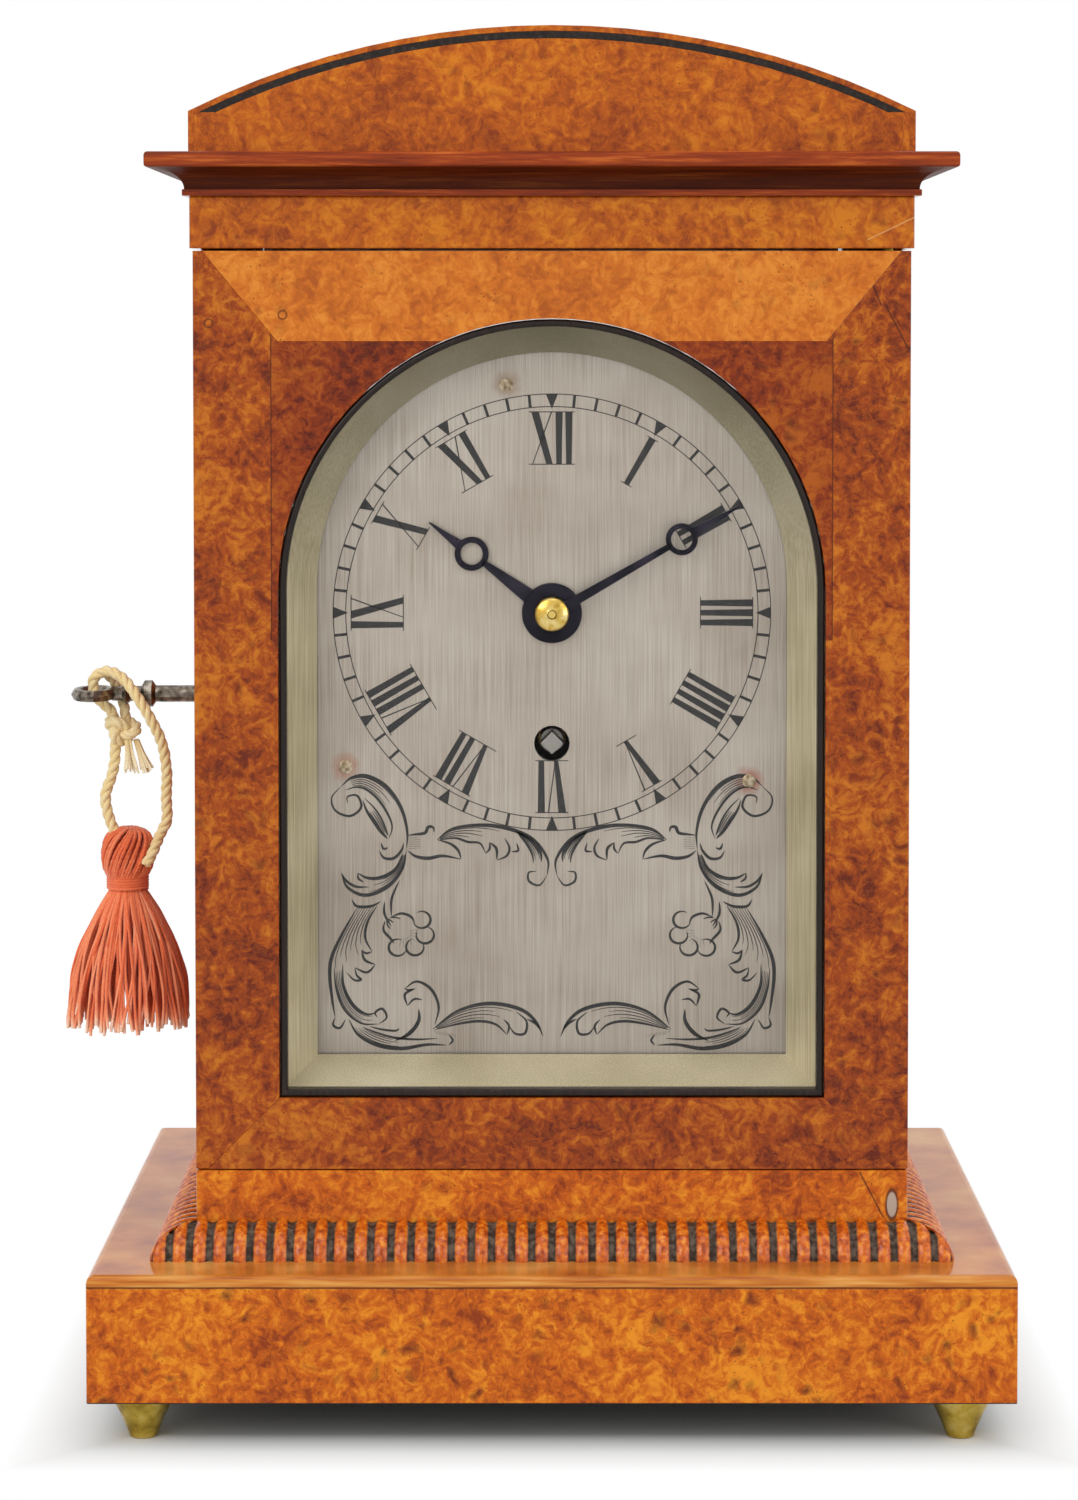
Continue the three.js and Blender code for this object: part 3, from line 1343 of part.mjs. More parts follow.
function handsAndCollet() {
  const hourFace = DIAL.front - 1.4;
  const minuteFace = DIAL.front - 4.2;
  const hourShape = handGeometry(HOUR_HAND, hourFace, hourFace + 0.9, 3.5);
  const minuteShape = handGeometry(MINUTE_HAND, minuteFace, minuteFace + 0.8, 2.3);
  const hour = at(piece('hour_hand', hourShape, bluedSteel), 0, 0, centre.y);
  const minute = at(piece('minute_hand', minuteShape, bluedSteel), 0, 0, centre.y);
  hour.rotation.y = THREE.MathUtils.degToRad(HOUR_HAND.angle);
  minute.rotation.y = THREE.MathUtils.degToRad(MINUTE_HAND.angle);
  const collet = piece('hand_collet', colletGeometry(minuteFace - 0.35), brass);
  return assembly(hour, minute, at(collet, 0, 0, centre.y));
}

function movementParts() {
  const on = (name, geometry, material, { x, y }) => at(piece(name, geometry, material), x, 0, y);
  const frontPlate = join(frontPlateGeometry(), minuteStud());
  const suspension = BETWEEN.back + PLATES.thickness + 6.5;
  return assembly(
    piece('front_plate', frontPlate, brass),
    piece('back_plate', backPlateGeometry(), brass),
    piece('seatboard', seatboardGeometry(), oak),
    on('fusee', fuseeGeometry(), brass, fuseeArbor),
    on('barrel', barrelGeometry(), brass, barrel),
    piece('gut_line', gutLineGeometry(), gut),
    on('centre_wheel', centreArborGeometry(), brass, centre),
    on('third_wheel', thirdGeometry(), brass, third),
    on('escape_wheel', escapeGeometry(), brass, escape),
    on('anchor', anchorGeometry(), steel, pallets),
    piece('back_cock', backCockGeometry(), brass),
    at(piece('pendulum', pendulumGeometry(), brass), pallets.x, suspension, pallets.y),
    at(piece('rating_nut', ratingNutGeometry(), brass), pallets.x, suspension, pallets.y),
    on('cannon_pinion', cannonGeometry(), brass, centre),
    on('minute_wheel', minuteWheelGeometry(), brass, minuteArbor),
    on('hour_wheel', hourWheelGeometry(), brass, centre),
  );
}

// ---------------------------------------------------------------- the clock

const clock = new THREE.Group();
clock.add(
  caseParts(),
  doorParts(),
  doorHingesOnCase(),
  backDoorParts(),
  lockParts(),
  tasselParts(),
  movementParts(),
  piece('dial', dialGeometry(), silvered),
  handsAndCollet(),
);

export default clock;
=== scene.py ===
# %% [markdown]
# # A small bracket clock in burr veneer
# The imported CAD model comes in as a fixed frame: every piece of the clock at its real size, in metres, with
# the floor at Z = 0 and the dial towards -Y. This script gives each piece its finish, and builds finer
# meshes for the pieces whose beauty is in their detail: the carved moulding, the engraved dial, the hands,
# the silk tassel.

# %% Load the frame
import math
import random
from functools import partial

import bpy
from mathutils import Matrix, Vector


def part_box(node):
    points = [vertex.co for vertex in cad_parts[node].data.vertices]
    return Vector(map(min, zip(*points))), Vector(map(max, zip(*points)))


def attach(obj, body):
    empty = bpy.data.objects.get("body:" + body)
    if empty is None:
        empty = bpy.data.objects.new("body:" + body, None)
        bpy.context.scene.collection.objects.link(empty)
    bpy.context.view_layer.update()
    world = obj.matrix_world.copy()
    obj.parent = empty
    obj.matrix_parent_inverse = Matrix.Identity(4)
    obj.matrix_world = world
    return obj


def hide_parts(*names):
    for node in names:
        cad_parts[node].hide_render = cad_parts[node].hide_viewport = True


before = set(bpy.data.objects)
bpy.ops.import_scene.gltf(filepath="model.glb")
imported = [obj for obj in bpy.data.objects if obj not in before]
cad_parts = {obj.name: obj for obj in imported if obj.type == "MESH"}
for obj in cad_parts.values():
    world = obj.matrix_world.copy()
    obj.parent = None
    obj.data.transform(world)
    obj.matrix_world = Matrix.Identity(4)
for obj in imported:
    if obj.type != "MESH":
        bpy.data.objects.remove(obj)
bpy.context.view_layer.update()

# %% [markdown]
# ## Millimetres
# A clockmaker thinks in millimetres and Blender in metres, so one small function turns the first into the
# second. The places below are worked out from the frame's own boxes wherever a CAD node marks them.

# %% Real sizes and places
TAU = 2 * math.pi


def mm(*values):
    """One length, or a point, given in millimetres."""
    metres = [value * 0.001 for value in values]
    return metres[0] if len(metres) == 1 else Vector(metres)


def span(node):
    """The lowest and highest corner of a CAD node, in millimetres."""
    return [corner * 1000 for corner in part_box(node)]


DIAL_CENTRE = 164.4
APERTURE_HALF, APERTURE_BOTTOM, APERTURE_SPRING = 55.4, 66.7, 169.7
DIAL_FACE = span("dial")[0].y
DOOR_FACE = span("door_bottom_rail")[0].y
print("dial face at y", round(DIAL_FACE, 2), "mm, door face at y", round(DOOR_FACE, 2), "mm")

# %% [markdown]
# ## The camera
# The photographer stood the camera almost level with the top of the dial and slid the lens down, so that
# the clock's upright lines stay upright. A small downward tilt and a part of that slide give the same
# picture.

# %% Camera
CAMERA_PLACE, TILT_DEGREES = (0, -780.3, 222.6), 2.355
camera_data = bpy.data.cameras.new("photograph_camera")
camera_data.lens = 87.07
camera_data.shift_x = -0.0086
camera_data.shift_y = -0.18
camera_data.clip_start = 0.05
camera = bpy.data.objects.new("photograph_camera", camera_data)
camera.location = mm(*CAMERA_PLACE)
camera.rotation_euler = (math.radians(90 - TILT_DEGREES), 0, 0)
bpy.context.collection.objects.link(camera)
bpy.context.scene.camera = camera
bpy.context.scene.view_settings.view_transform = "Standard"
print("camera lens", camera_data.lens, "mm")

# %% [markdown]
# ## Collecting a mesh
# Most fine pieces here are skins stretched over rows of points: a turned foot, a tube along a thread, a
# carved moulding. One collector keeps the vertices, the faces and a shade value for each vertex, which a
# material can read later, for instance to darken the bottom of a groove.

# %% Mesh collector


def circle(sides):
    """Cosine and sine at equal steps round a circle."""
    return [(math.cos(TAU * k / sides), math.sin(TAU * k / sides)) for k in range(sides)]

class Form:
    """Vertices, faces and one shade per vertex, gathered before they become a mesh."""

    def __init__(self):
        self.vertices = []
        self.faces = []
        self.shades = []

    def skin(self, rows, shades=None, around=False, caps=False):
        """Quads between rows of equally many points, in millimetres. Around closes each row on itself."""
        start = len(self.vertices)
        width = len(rows[0])
        for number, row in enumerate(rows):
            self.vertices.extend(mm(*place) for place in row)
            self.shades.extend(shades[number] if shades else [0.0] * width)
        columns = width if around else width - 1
        for row in range(len(rows) - 1):
            for column in range(columns):
                near = start + row * width + column
                far = start + row * width + (column + 1) % width
                self.faces.append((near, far, far + width, near + width))
        if caps:
            last = start + (len(rows) - 1) * width
            self.faces.append(tuple(start + column for column in reversed(range(width))))
            self.faces.append(tuple(last + column for column in range(width)))

    def tube(self, points, radius, sides=8, shade=0.0):
        """A closed tube along points. Radius and shade are numbers, or functions of the share of the way."""
        rows, shades = [], []
        for share, place, side, up in carried_frames(points):
            reach = radius(share) if callable(radius) else radius
            rows.append([place + (side * c + up * s) * reach for c, s in circle(sides)])
            shades.append([shade(share) if callable(shade) else shade] * sides)
        self.skin(rows, shades, around=True, caps=True)

    def turned(self, profile, place, axis, sides=48, shade=0.0):
        """Turned work: profile pairs are radius and distance along the axis from place."""
        axis = Vector(axis).normalized()
        side = axis.orthogonal().normalized()
        up = axis.cross(side)
        rows = []
        for radius, along in profile:
            middle = Vector(place) + axis * along
            reach = max(radius, 0.001)
            rows.append([middle + (side * c + up * s) * reach for c, s in circle(sides)])
        self.skin(rows, [[shade] * sides] * len(rows), around=True, caps=True)


print("one turn in 48 sides strays by", round(1 - math.cos(math.pi / 48), 4), "of the radius")

# %% [markdown]
# A tube needs two directions across its line at every point. If they were worked out anew each time they
# could spin, so each pair is carried on from the one before. A smooth line through a few chosen points saves
# typing the rest.

# %% Lines in space


def carried_frames(points):
    """Each point with its share of the way and two cross directions that turn no more than they must."""
    points = [Vector(place) for place in points]
    held = [points[0], *points, points[-1]]
    along = [(after - before).normalized() for before, after in zip(held, held[2:])]
    side = along[0].orthogonal().normalized()
    frames = []
    for number, place in enumerate(points):
        side = (side - along[number] * side.dot(along[number])).normalized()
        frames.append((number / (len(points) - 1), place, side, along[number].cross(side)))
    return frames


def curve_through(points, steps):
    """A smooth line through chosen points, with equally many steps in each stretch."""
    points = [Vector(place) for place in points]
    ends = [2 * points[0] - points[1], *points, 2 * points[-1] - points[-2]]
    line = []
    for before, start, end, after in zip(ends, ends[1:], ends[2:], ends[3:]):
        for step in range(steps):
            t = step / steps
            square = (2 * before - 5 * start + 4 * end - after) * t * t
            cube = (3 * start - before - 3 * end + after) * t ** 3
            line.append(0.5 * (2 * start + (end - before) * t + square + cube))
    return [*line, points[-1]]


# %% [markdown]
# A finished form becomes a mesh with smooth shading, except across real arrises. Each piece then rides on
# the body of the clock that carries it, gets its finish, and hides the CAD nodes it takes the place of.

# %% Form to piece


def make_piece(name, form, material, body, stands_for=(), sharp_angle=40):
    """Turns a form into a named piece that rides on a body, and hides the CAD nodes it stands for."""
    mesh = bpy.data.meshes.new(name)
    mesh.from_pydata(form.vertices, [], form.faces)
    shade = mesh.attributes.new("shade", "FLOAT", "POINT")
    shade.data.foreach_set("value", form.shades)
    mesh.validate()
    mesh.shade_smooth()
    mesh.set_sharp_from_angle(angle=math.radians(sharp_angle))
    mesh.materials.append(material)
    piece = bpy.data.objects.new(name, mesh)
    bpy.context.collection.objects.link(piece)
    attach(piece, body)
    if stands_for:
        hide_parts(*stands_for)
    print(name, "faces", len(mesh.polygons))
    return piece


# %% [markdown]
# ## Materials in general
# Colours are written as the sRGB hex values that a colour picker shows, and one function turns them to the
# linear values that light is added up in. One more function adds a shader node with its settings and links,
# and gives back its output, ready to be the next node's input. Each material hands out that function tied
# to its own nodes. Patterns are worked out in millimetres from the object's own coordinates, so nothing
# needs unwrapping.

# %% Colour and node helpers


def linear(code):
    """An sRGB hex colour as linear red, green, blue and alpha."""
    channels = [int(code[place:place + 2], 16) / 255 for place in (1, 3, 5)]
    return [*(((c + 0.055) / 1.055) ** 2.4 if c > 0.04045 else c / 12.92 for c in channels), 1.0]


def connect(node, inputs):
    """Gives sockets, by name or by place, a value, a hex colour or another node's output."""
    for socket, source in (inputs.items() if isinstance(inputs, dict) else enumerate(inputs)):
        if isinstance(source, bpy.types.NodeSocket):
            node.id_data.links.new(source, node.inputs[socket])
        else:
            node.inputs[socket].default_value = linear(source) if isinstance(source, str) else source


def add(tree, kind, inputs=(), out=0, stops=(), **settings):
    """Adds a node and gives back one output. Settings are its properties; stops belong to a colour ramp."""
    node = tree.nodes.new("ShaderNode" + kind)
    for name, value in settings.items():
        setattr(node, name, value)
    connect(node, inputs)
    for number, (position, code) in enumerate(stops):
        elements = node.color_ramp.elements
        element = elements[number] if number < 2 else elements.new(position)
        element.position = position
        element.color = linear(code)
    return node.outputs[out]


def new_material(name, **surface):
    """A material, its node adder and its Principled shader; surface names sockets, with _ for a space."""
    material = bpy.data.materials.new(name)
    material.use_nodes = True
    shader = material.node_tree.nodes["Principled BSDF"]
    connect(shader, {socket.replace("_", " "): value for socket, value in surface.items()})
    return material, partial(add, material.node_tree), shader


def millimetres(node, stretch=(1, 1, 1), shift=(0, 0, 0)):
    """The object's own coordinates in millimetres, stretched and shifted."""
    scale = [1000 * s for s in stretch]
    return node("Mapping", {"Vector": node("TexCoord", out="Object"), "Scale": scale, "Location": shift})


def off_line(node, value, middle):
    """How far a value is from a middle one, to either side."""
    return node("Math", (node("Math", (value, middle), operation="SUBTRACT"),), operation="ABSOLUTE")


MIX = {"out": 2, "data_type": "RGBA"}  # in a colour mix, 0 is the share, 6 lies under and 7 over

# %% [markdown]
# ## Burr veneer
# Burr is cut from the knotty swellings of a tree. Its figure is a close swirl of fibres round many small
# buds, which show as dark eyes. French polish, which is shellac rubbed on in many thin coats, gives it
# depth and a bright skin. The swirl is noise that is itself pushed about by slower noise; the eyes are
# cells with dark middles; slow clouds make one part of a sheet redder or paler than another.

# %% Burr colour
FIGURE_MM, SWIRL_MM, PATCH_MM, CLOUD_MM, EYE_MM, PIP_MM = 1.9, 6.0, 5.5, 24.0, 4.2, 1.3
CROWD_MM, CURL_MM, PUSH_MM, WAVE_MM = 12.0, 4.2, 7.0, 9.0
NOISE_LOW, NOISE_HIGH = 0.3, 0.7  # noise seldom leaves this range


def burr_colour(node, place, tones, eye_strength=0.8):
    """The burr's colour at a place, in three tones from dark to pale, and its figure."""
    dark, middle, pale = tones
    push = node("TexNoise", {"Vector": place, "Scale": 1 / SWIRL_MM, "Detail": 3.0}, out="Color")
    centred = node("VectorMath", (push, (0.5, 0.5, 0.5)), operation="SUBTRACT")
    pushed = node("VectorMath", {0: centred, "Scale": PUSH_MM}, operation="SCALE")
    swirl = node("VectorMath", (place, pushed), operation="ADD")
    figure = node("TexNoise", {"Vector": swirl, "Scale": 1 / FIGURE_MM, "Detail": 7.0, "Roughness": 0.66})
    tone = figure
    for where, size, detail, reach in ((place, CLOUD_MM, 2.0, 0.1), (swirl, PATCH_MM, 3.0, 0.09)):
        slow = node("TexNoise", {"Vector": where, "Scale": 1 / size, "Detail": detail})
        lean = node("MapRange", (slow, NOISE_LOW, NOISE_HIGH, -reach, reach))
        tone = node("Math", (tone, lean), operation="ADD")
    colour = node("ValToRGB", (tone,), stops=[(0.3, dark), (0.5, middle), (0.68, pale)])
    crowd = node("TexNoise", {"Vector": place, "Scale": 1 / CROWD_MM, "Detail": 1.0})
    eyes = node("TexVoronoi", {"Vector": swirl, "Scale": 1 / EYE_MM})
    crowded = node("MapRange", (crowd, 0.42, 0.62, 0.0, eye_strength))
    eye = node("Math", (node("MapRange", (eyes, 0.06, 0.4, 1.0, 0.0)), crowded), operation="MULTIPLY")
    colour = node("Mix", {0: eye, 6: colour, 7: "#5E1C04"}, **MIX)
    pips = node("TexVoronoi", {"Vector": place, "Scale": 1 / PIP_MM})
    dot = node("MapRange", (pips, 0.07, 0.15, 0.85, 0.0))
    room = node("MapRange", (crowd, 0.5, 0.6))
    pip = node("Math", (dot, room), operation="MULTIPLY")
    colour = node("Mix", {0: pip, 6: colour, 7: "#3E1206"}, **MIX)
    curl = node("TexNoise", {"Vector": swirl, "Scale": 1 / CURL_MM, "Detail": 4.0, "Roughness": 0.6})
    thread = node("MapRange", (off_line(node, curl, 0.5), 0.0, 0.02, 0.2, 0.0))
    return node("Mix", {0: thread, 6: colour, 7: pale}, **MIX), figure


# %% [markdown]
# The polish lies over all of it: the wood itself is dull, and the coat above it shines. Two centuries have
# left marks, and each has its own small function: the hair line round a plug that fills an old hole, the
# joint of a repair, and a chip that bares pale wood.

# %% Polish and marks


def french_polished(name):
    """Shellac over wood."""
    return new_material(name, Roughness=0.5, Specular_IOR_Level=0.08, Coat_Weight=0.9, Coat_Roughness=0.07,
                        Coat_IOR=1.26)


def finish_veneer(node, shader, colour, figure):
    """Lays on the colour, the slight unevenness of old polish, and the pores that have sunk through it."""
    wave = node("TexNoise", {"Vector": millimetres(node), "Scale": 1 / WAVE_MM, "Detail": 2.0})
    waves = node("Math", (wave, 0.35), operation="MULTIPLY")
    height = node("Math", (figure, 0.05, waves), operation="MULTIPLY_ADD")
    normal = node("Bump", {"Strength": 0.12, "Distance": mm(0.5), "Height": height})
    connect(shader, {"Base Color": colour, "Normal": normal, "Coat Normal": normal})


def distance_from(node, x, z, half_wide=1.0, half_tall=1.0):
    """The distance from a place on the front, in half widths and half heights of an oval."""
    own = millimetres(node, (1 / half_wide, 0.0, 1 / half_tall))
    return node("VectorMath", (own, (x / half_wide, 0.0, z / half_tall)), out="Value", operation="DISTANCE")


def plug_ring(node, colour, x, z, radius=0.85):
    """The hair line round a small wooden plug."""
    rim = off_line(node, distance_from(node, x, z), radius)
    return node("Mix", {0: node("MapRange", (rim, 0.08, 0.26, 0.75, 0.0)), 6: colour, 7: "#4A1A08"}, **MIX)


def seam(node, colour, start, end, code="#3E1608", wide=0.22):
    """A repair's joint: a thin line across the veneer from one place to another."""
    first, last = Vector((start[0], 0, start[1])), Vector((end[0], 0, end[1]))
    along = (last - first).normalized()
    off = node("VectorMath", (millimetres(node, (1.0, 0.0, 1.0)), first), operation="SUBTRACT")
    far = node("VectorMath", (off, along), out="Value", operation="DOT_PRODUCT")
    side = node("VectorMath", (off, (-along.z, 0, along.x)), out="Value", operation="DOT_PRODUCT")
    near = node("MapRange", (off_line(node, side, 0.0), wide * 0.4, wide, 0.8, 0.0))
    for limit, test in ((0.0, "GREATER_THAN"), ((last - first).length, "LESS_THAN")):
        near = node("Math", (near, node("Math", (far, limit), operation=test)), operation="MULTIPLY")
    return node("Mix", {0: near, 6: colour, 7: code}, **MIX)


def chip(node, colour, x, z, half_wide, half_tall):
    """A chip in the veneer: pale bare wood with a dark rim."""
    off = distance_from(node, x, z, half_wide, half_tall)
    for inner, outer, strength, code in ((1.05, 1.3, 0.85, "#4A2410"), (0.8, 0.95, 1.0, "#B9A596")):
        share = node("MapRange", (off, inner, outer, strength, 0.0))
        colour = node("Mix", {0: share, 6: colour, 7: code}, **MIX)
    return colour


def plain_edge(node, colour, edge_z, foot_z):
    """A strip of plain wood above a dark joint, and the raw underside, made near black as painted shade."""
    height = node("SeparateXYZ", (millimetres(node),), out="Z")
    long_grain = millimetres(node, (0.05, 0.05, 1.0))
    grain = node("TexNoise", {"Vector": long_grain, "Scale": 1 / 0.8, "Detail": 5.0})
    strip = node("ValToRGB", (grain,), stops=[(0.3, "#A8541A"), (0.5, "#CC7C2C"), (0.7, "#E0A050")])
    above = node("Math", (height, edge_z), operation="GREATER_THAN")
    colour = node("Mix", {0: above, 6: colour, 7: strip}, **MIX)
    joint = node("MapRange", (off_line(node, height, edge_z), 0.1, 0.28, 0.8, 0.0))
    colour = node("Mix", {0: joint, 6: colour, 7: "#3A1406"}, **MIX)
    # Painted shade: the underside is near black, so that it throws little orange light into the floor's
    # shadow.
    under = node("Math", (height, foot_z + 0.25), operation="LESS_THAN")
    return node("Mix", {0: under, 6: colour, 7: "#1E1610"}, **MIX)


# %% [markdown]
# Every sheet is cut from its own place in the log, so the pattern is shifted by a seed. The sheets differ
# in tone as they do on the clock: gold on the plinth, redder on the door, pale on the head rail.

# %% Sheets of burr


def burr_veneer(name, seed, tones, eye_strength=0.8, edges=None, plugs=(), seams=(), chips=()):
    """A sheet of burr with its marks."""
    material, node, shader = french_polished(name)
    place = millimetres(node, shift=(seed * 37.0, seed * 11.0, seed * 53.0))
    colour, figure = burr_colour(node, place, tones, eye_strength)
    if edges:
        colour = plain_edge(node, colour, *edges)
    for mark, places in ((plug_ring, plugs), (seam, seams), (chip, chips)):
        for numbers in places:
            colour = mark(node, colour, *numbers)
    finish_veneer(node, shader, colour, figure)
    return material


RED_BURR = ("#64200A", "#A0450A", "#C67018")
MID_BURR = ("#8A3A0C", "#B85A0E", "#D27A16")
GOLD_BURR = ("#8E3606", "#CC6206", "#EA921C")
PALE_BURR = ("#AC5416", "#CC6E1C", "#DE882E")
PLINTH_FOOT, PLINTH_TOP = (corner.z for corner in span("plinth"))
burr_plinth = burr_veneer("burr_plinth", 1, GOLD_BURR, 0.9, (PLINTH_TOP - 2.3, PLINTH_FOOT))
burr_rail = burr_veneer("burr_base_rail", 2, GOLD_BURR, 0.4, chips=[(69.2, 44.9, 1.15, 2.9)],
                        seams=[((62.6, 51.6), (67.5, 42.2), "#3A1406")])
burr_side = burr_veneer("burr_case_side", 3, RED_BURR)
burr_frieze = burr_veneer("burr_frieze", 4, MID_BURR, 0.5, seams=[((63.5, 240.9), (74.6, 246.2), "#D89A5A")])
burr_pediment = burr_veneer("burr_pediment", 5, MID_BURR, 0.6)
burr_head = burr_veneer("burr_head_rail", 6, PALE_BURR, 0.35, plugs=[(-54.3, 225.8)])
burr_foot_rail = burr_veneer("burr_bottom_rail", 7, RED_BURR, 0.6)
print("burr sheets", len([m for m in bpy.data.materials if m.name.startswith("burr")]))

# %% [markdown]
# ## The door's two stiles
# Each stile carries a long strip of burr at its outer side, and above the spring of the arch a second sheet
# fills the corner, the spandrel. The joint between the two shows as a hair line. So the pattern is shifted
# inside the spandrel, as a sheet from another part of the log is, and a dark line drawn where they meet.

# %% Stile veneer
SPANDREL_X, SPANDREL_BOTTOM, JOINT_MM = 56.7, 160.0, 0.16
STILE_SEAMS = (
    ((61.9, 238.2), (66.4, 227.7)),
    ((67.2, 227.9), (71.8, 219.1)),
    ((71.8, 219.1), (75.0, 219.3)),
)


def stile_veneer(name, seed):
    """Burr in two sheets with a joint between them."""
    material, node, shader = french_polished(name)
    own = millimetres(node)
    parts = node("SeparateXYZ", (own,)).node.outputs
    across = off_line(node, parts["X"], 0.0)
    inside = node("Math", (across, SPANDREL_X), operation="LESS_THAN")
    above = node("Math", (parts["Z"], SPANDREL_BOTTOM), operation="GREATER_THAN")
    spandrel = node("Math", (inside, above), operation="MULTIPLY")
    jump = node("Math", (spandrel, 91.0, seed * 47.0), operation="MULTIPLY_ADD")
    place = node("VectorMath", (own, node("CombineXYZ", (jump, jump, jump))), operation="ADD")
    colour, figure = burr_colour(node, place, RED_BURR)
    redder = node("Math", (spandrel, 0.5), operation="MULTIPLY")
    colour = node("Mix", {0: redder, 6: colour, 7: "#B06030"}, blend_type="MULTIPLY", **MIX)
    joint = node("MapRange", (off_line(node, across, SPANDREL_X), JOINT_MM / 2, JOINT_MM, 0.75, 0.0))
    line = node("Math", (joint, above), operation="MULTIPLY")
    colour = node("Mix", {0: line, 6: colour, 7: "#3A1608"}, **MIX)
    colour = plug_ring(node, colour, -69.2, 224.1)
    for start, end in STILE_SEAMS:
        colour = seam(node, colour, start, end)
    finish_veneer(node, shader, colour, figure)
    return material


stile_left_veneer = stile_veneer("burr_stile_left", 8)
stile_right_veneer = stile_veneer("burr_stile_right", 9)
print("stile joints at", SPANDREL_X, "mm from the middle, seams", len(STILE_SEAMS))

# %% [markdown]
# ## Straight-grained wood
# The cornice is cut from plain timber with the grain running along it, stained red-brown and polished.
# Grain is noise that is drawn out twenty times along the length. The oak of the back door and the seatboard
# is the same idea with wider, greyer lines and a dull waxed surface. Ebonised beading is wood stained
# black.

# %% Cornice, oak and ebonised wood
OAK_TONES = ("#6E4522", "#946235", "#AE7C4A")


def straight_grain(name, tones, grain_mm, direction, polished):
    """Timber whose grain runs along one axis: 0 for X, 1 for Y, 2 for Z."""
    waxed = partial(new_material, Roughness=0.6, Specular_IOR_Level=0.4)
    material, node, shader = french_polished(name) if polished else waxed(name)
    stretch = [1.0, 1.0, 1.0]
    stretch[direction] = 0.05
    grain = node("TexNoise", {"Vector": millimetres(node, stretch), "Scale": 1 / grain_mm, "Detail": 6.0,
                              "Roughness": 0.7})
    colour = node("ValToRGB", (grain,), stops=zip((0.3, 0.52, 0.7), tones))
    normal = node("Bump", {"Strength": 0.25, "Distance": mm(0.15), "Height": grain})
    connect(shader, {"Base Color": colour, "Normal": normal})
    return material


cornice_wood = straight_grain("stained_cornice_wood", ("#561A06", "#94380C", "#CC6A24"), 1.3, 0, True)
oak = straight_grain("waxed_oak", OAK_TONES, 1.6, 2, False)
oak_board = straight_grain("waxed_oak_board", OAK_TONES, 1.6, 0, False)
ebonised = straight_grain("ebonised_wood", ("#14100E", "#221A16", "#33261E"), 0.6, 2, True)
print("timbers", [wood.name for wood in (cornice_wood, oak, oak_board, ebonised)])

# %% [markdown]
# The pediment's dark line follows its arch only. So below the arch's shoulders the let-in strip takes the
# tone of the burr beside it.

# %% Line round the arch
SHOULDER_Z = 266.5
arch_line, node, shader = french_polished("ebonised_arch_line")
place = millimetres(node)
beside, _ = burr_colour(node, place, MID_BURR, 0.6)
grain = node("TexNoise", {"Vector": place, "Scale": 1 / 0.9, "Detail": 4.0})
black = node("ValToRGB", (grain,), stops=[(0.3, "#14100E"), (0.6, "#2A211C"), (0.75, "#4A3A2E")])
on_arch = node("Math", (node("SeparateXYZ", (place,), out="Z"), SHOULDER_Z), operation="GREATER_THAN")
connect(shader, {"Base Color": node("Mix", {0: on_arch, 6: beside, 7: black}, **MIX)})
print("arch line is black above z", SHOULDER_Z, "mm")

# %% [markdown]
# ## Brass, silvered brass and steel
# Metals have no colour of their own under the surface: all they show is tinted reflection. Old lacquered
# brass is a soft yellow with browner blotches where the lacquer has gone. Blued steel is polished steel
# heated until a dark oxide skin forms, and the key is bare iron that has gone brown in its hollows.

# %% Metals
MOVEMENT_TONES = ("#A5853A", "#C9A84E", "#DCC274")


def aged_metal(name, tones, roughness, patch_mm=4.0, fine_mm=0.25):
    """Metal with slow blotches of tarnish over fine scratches."""
    material, node, shader = new_material(name, Metallic=1.0)
    place = millimetres(node)
    patch = node("TexNoise", {"Vector": place, "Scale": 1 / patch_mm, "Detail": 5.0})
    fine = node("TexNoise", {"Vector": place, "Scale": 1 / fine_mm, "Detail": 2.0})
    connect(shader, {
        "Base Color": node("ValToRGB", (patch,), stops=zip((0.32, 0.5, 0.68), tones)),
        "Roughness": node("MapRange", (patch, NOISE_LOW, NOISE_HIGH, roughness + 0.15, roughness - 0.05)),
        "Normal": node("Bump", {"Strength": 0.15, "Distance": mm(0.05), "Height": fine}),
    })
    return material


brass = aged_metal("lacquered_brass", ("#9A7E30", "#C9AA48", "#E0C878"), 0.28)
movement_brass = aged_metal("grained_movement_brass", MOVEMENT_TONES, 0.3, 12.0)
blued_steel = aged_metal("blued_steel", ("#17161C", "#24222A", "#35313C"), 0.32, 6.0)
iron = aged_metal("old_key_iron", ("#3A332C", "#766C60", "#A8A094"), 0.34, 1.8)
steel = aged_metal("bright_steel", ("#6E6A62", "#8E8A82", "#A6A29A"), 0.28, 6.0)
print("metals", [metal.name for metal in (brass, movement_brass, blued_steel, iron, steel)])

# %% [markdown]
# The dial is brass rubbed with silver paste, then grained with straight strokes of pumice, which run up and
# down here. They are a tenth of a millimetre wide and twenty long, drawn a little coarser so that they
# show. A brown stain rings each of the three dial feet, whose riveted ends come through the plate.

# %% Silvered dial
RIVETS = [(-9.4, 211.5, "#8E7B66"), (-42.7, 132.4, "#9A6A55"), (40.8, 129.5, "#96503E")]
GRAINING_MM, DULLING_MM, STAIN_MM = 0.28, 22.0, 2.0


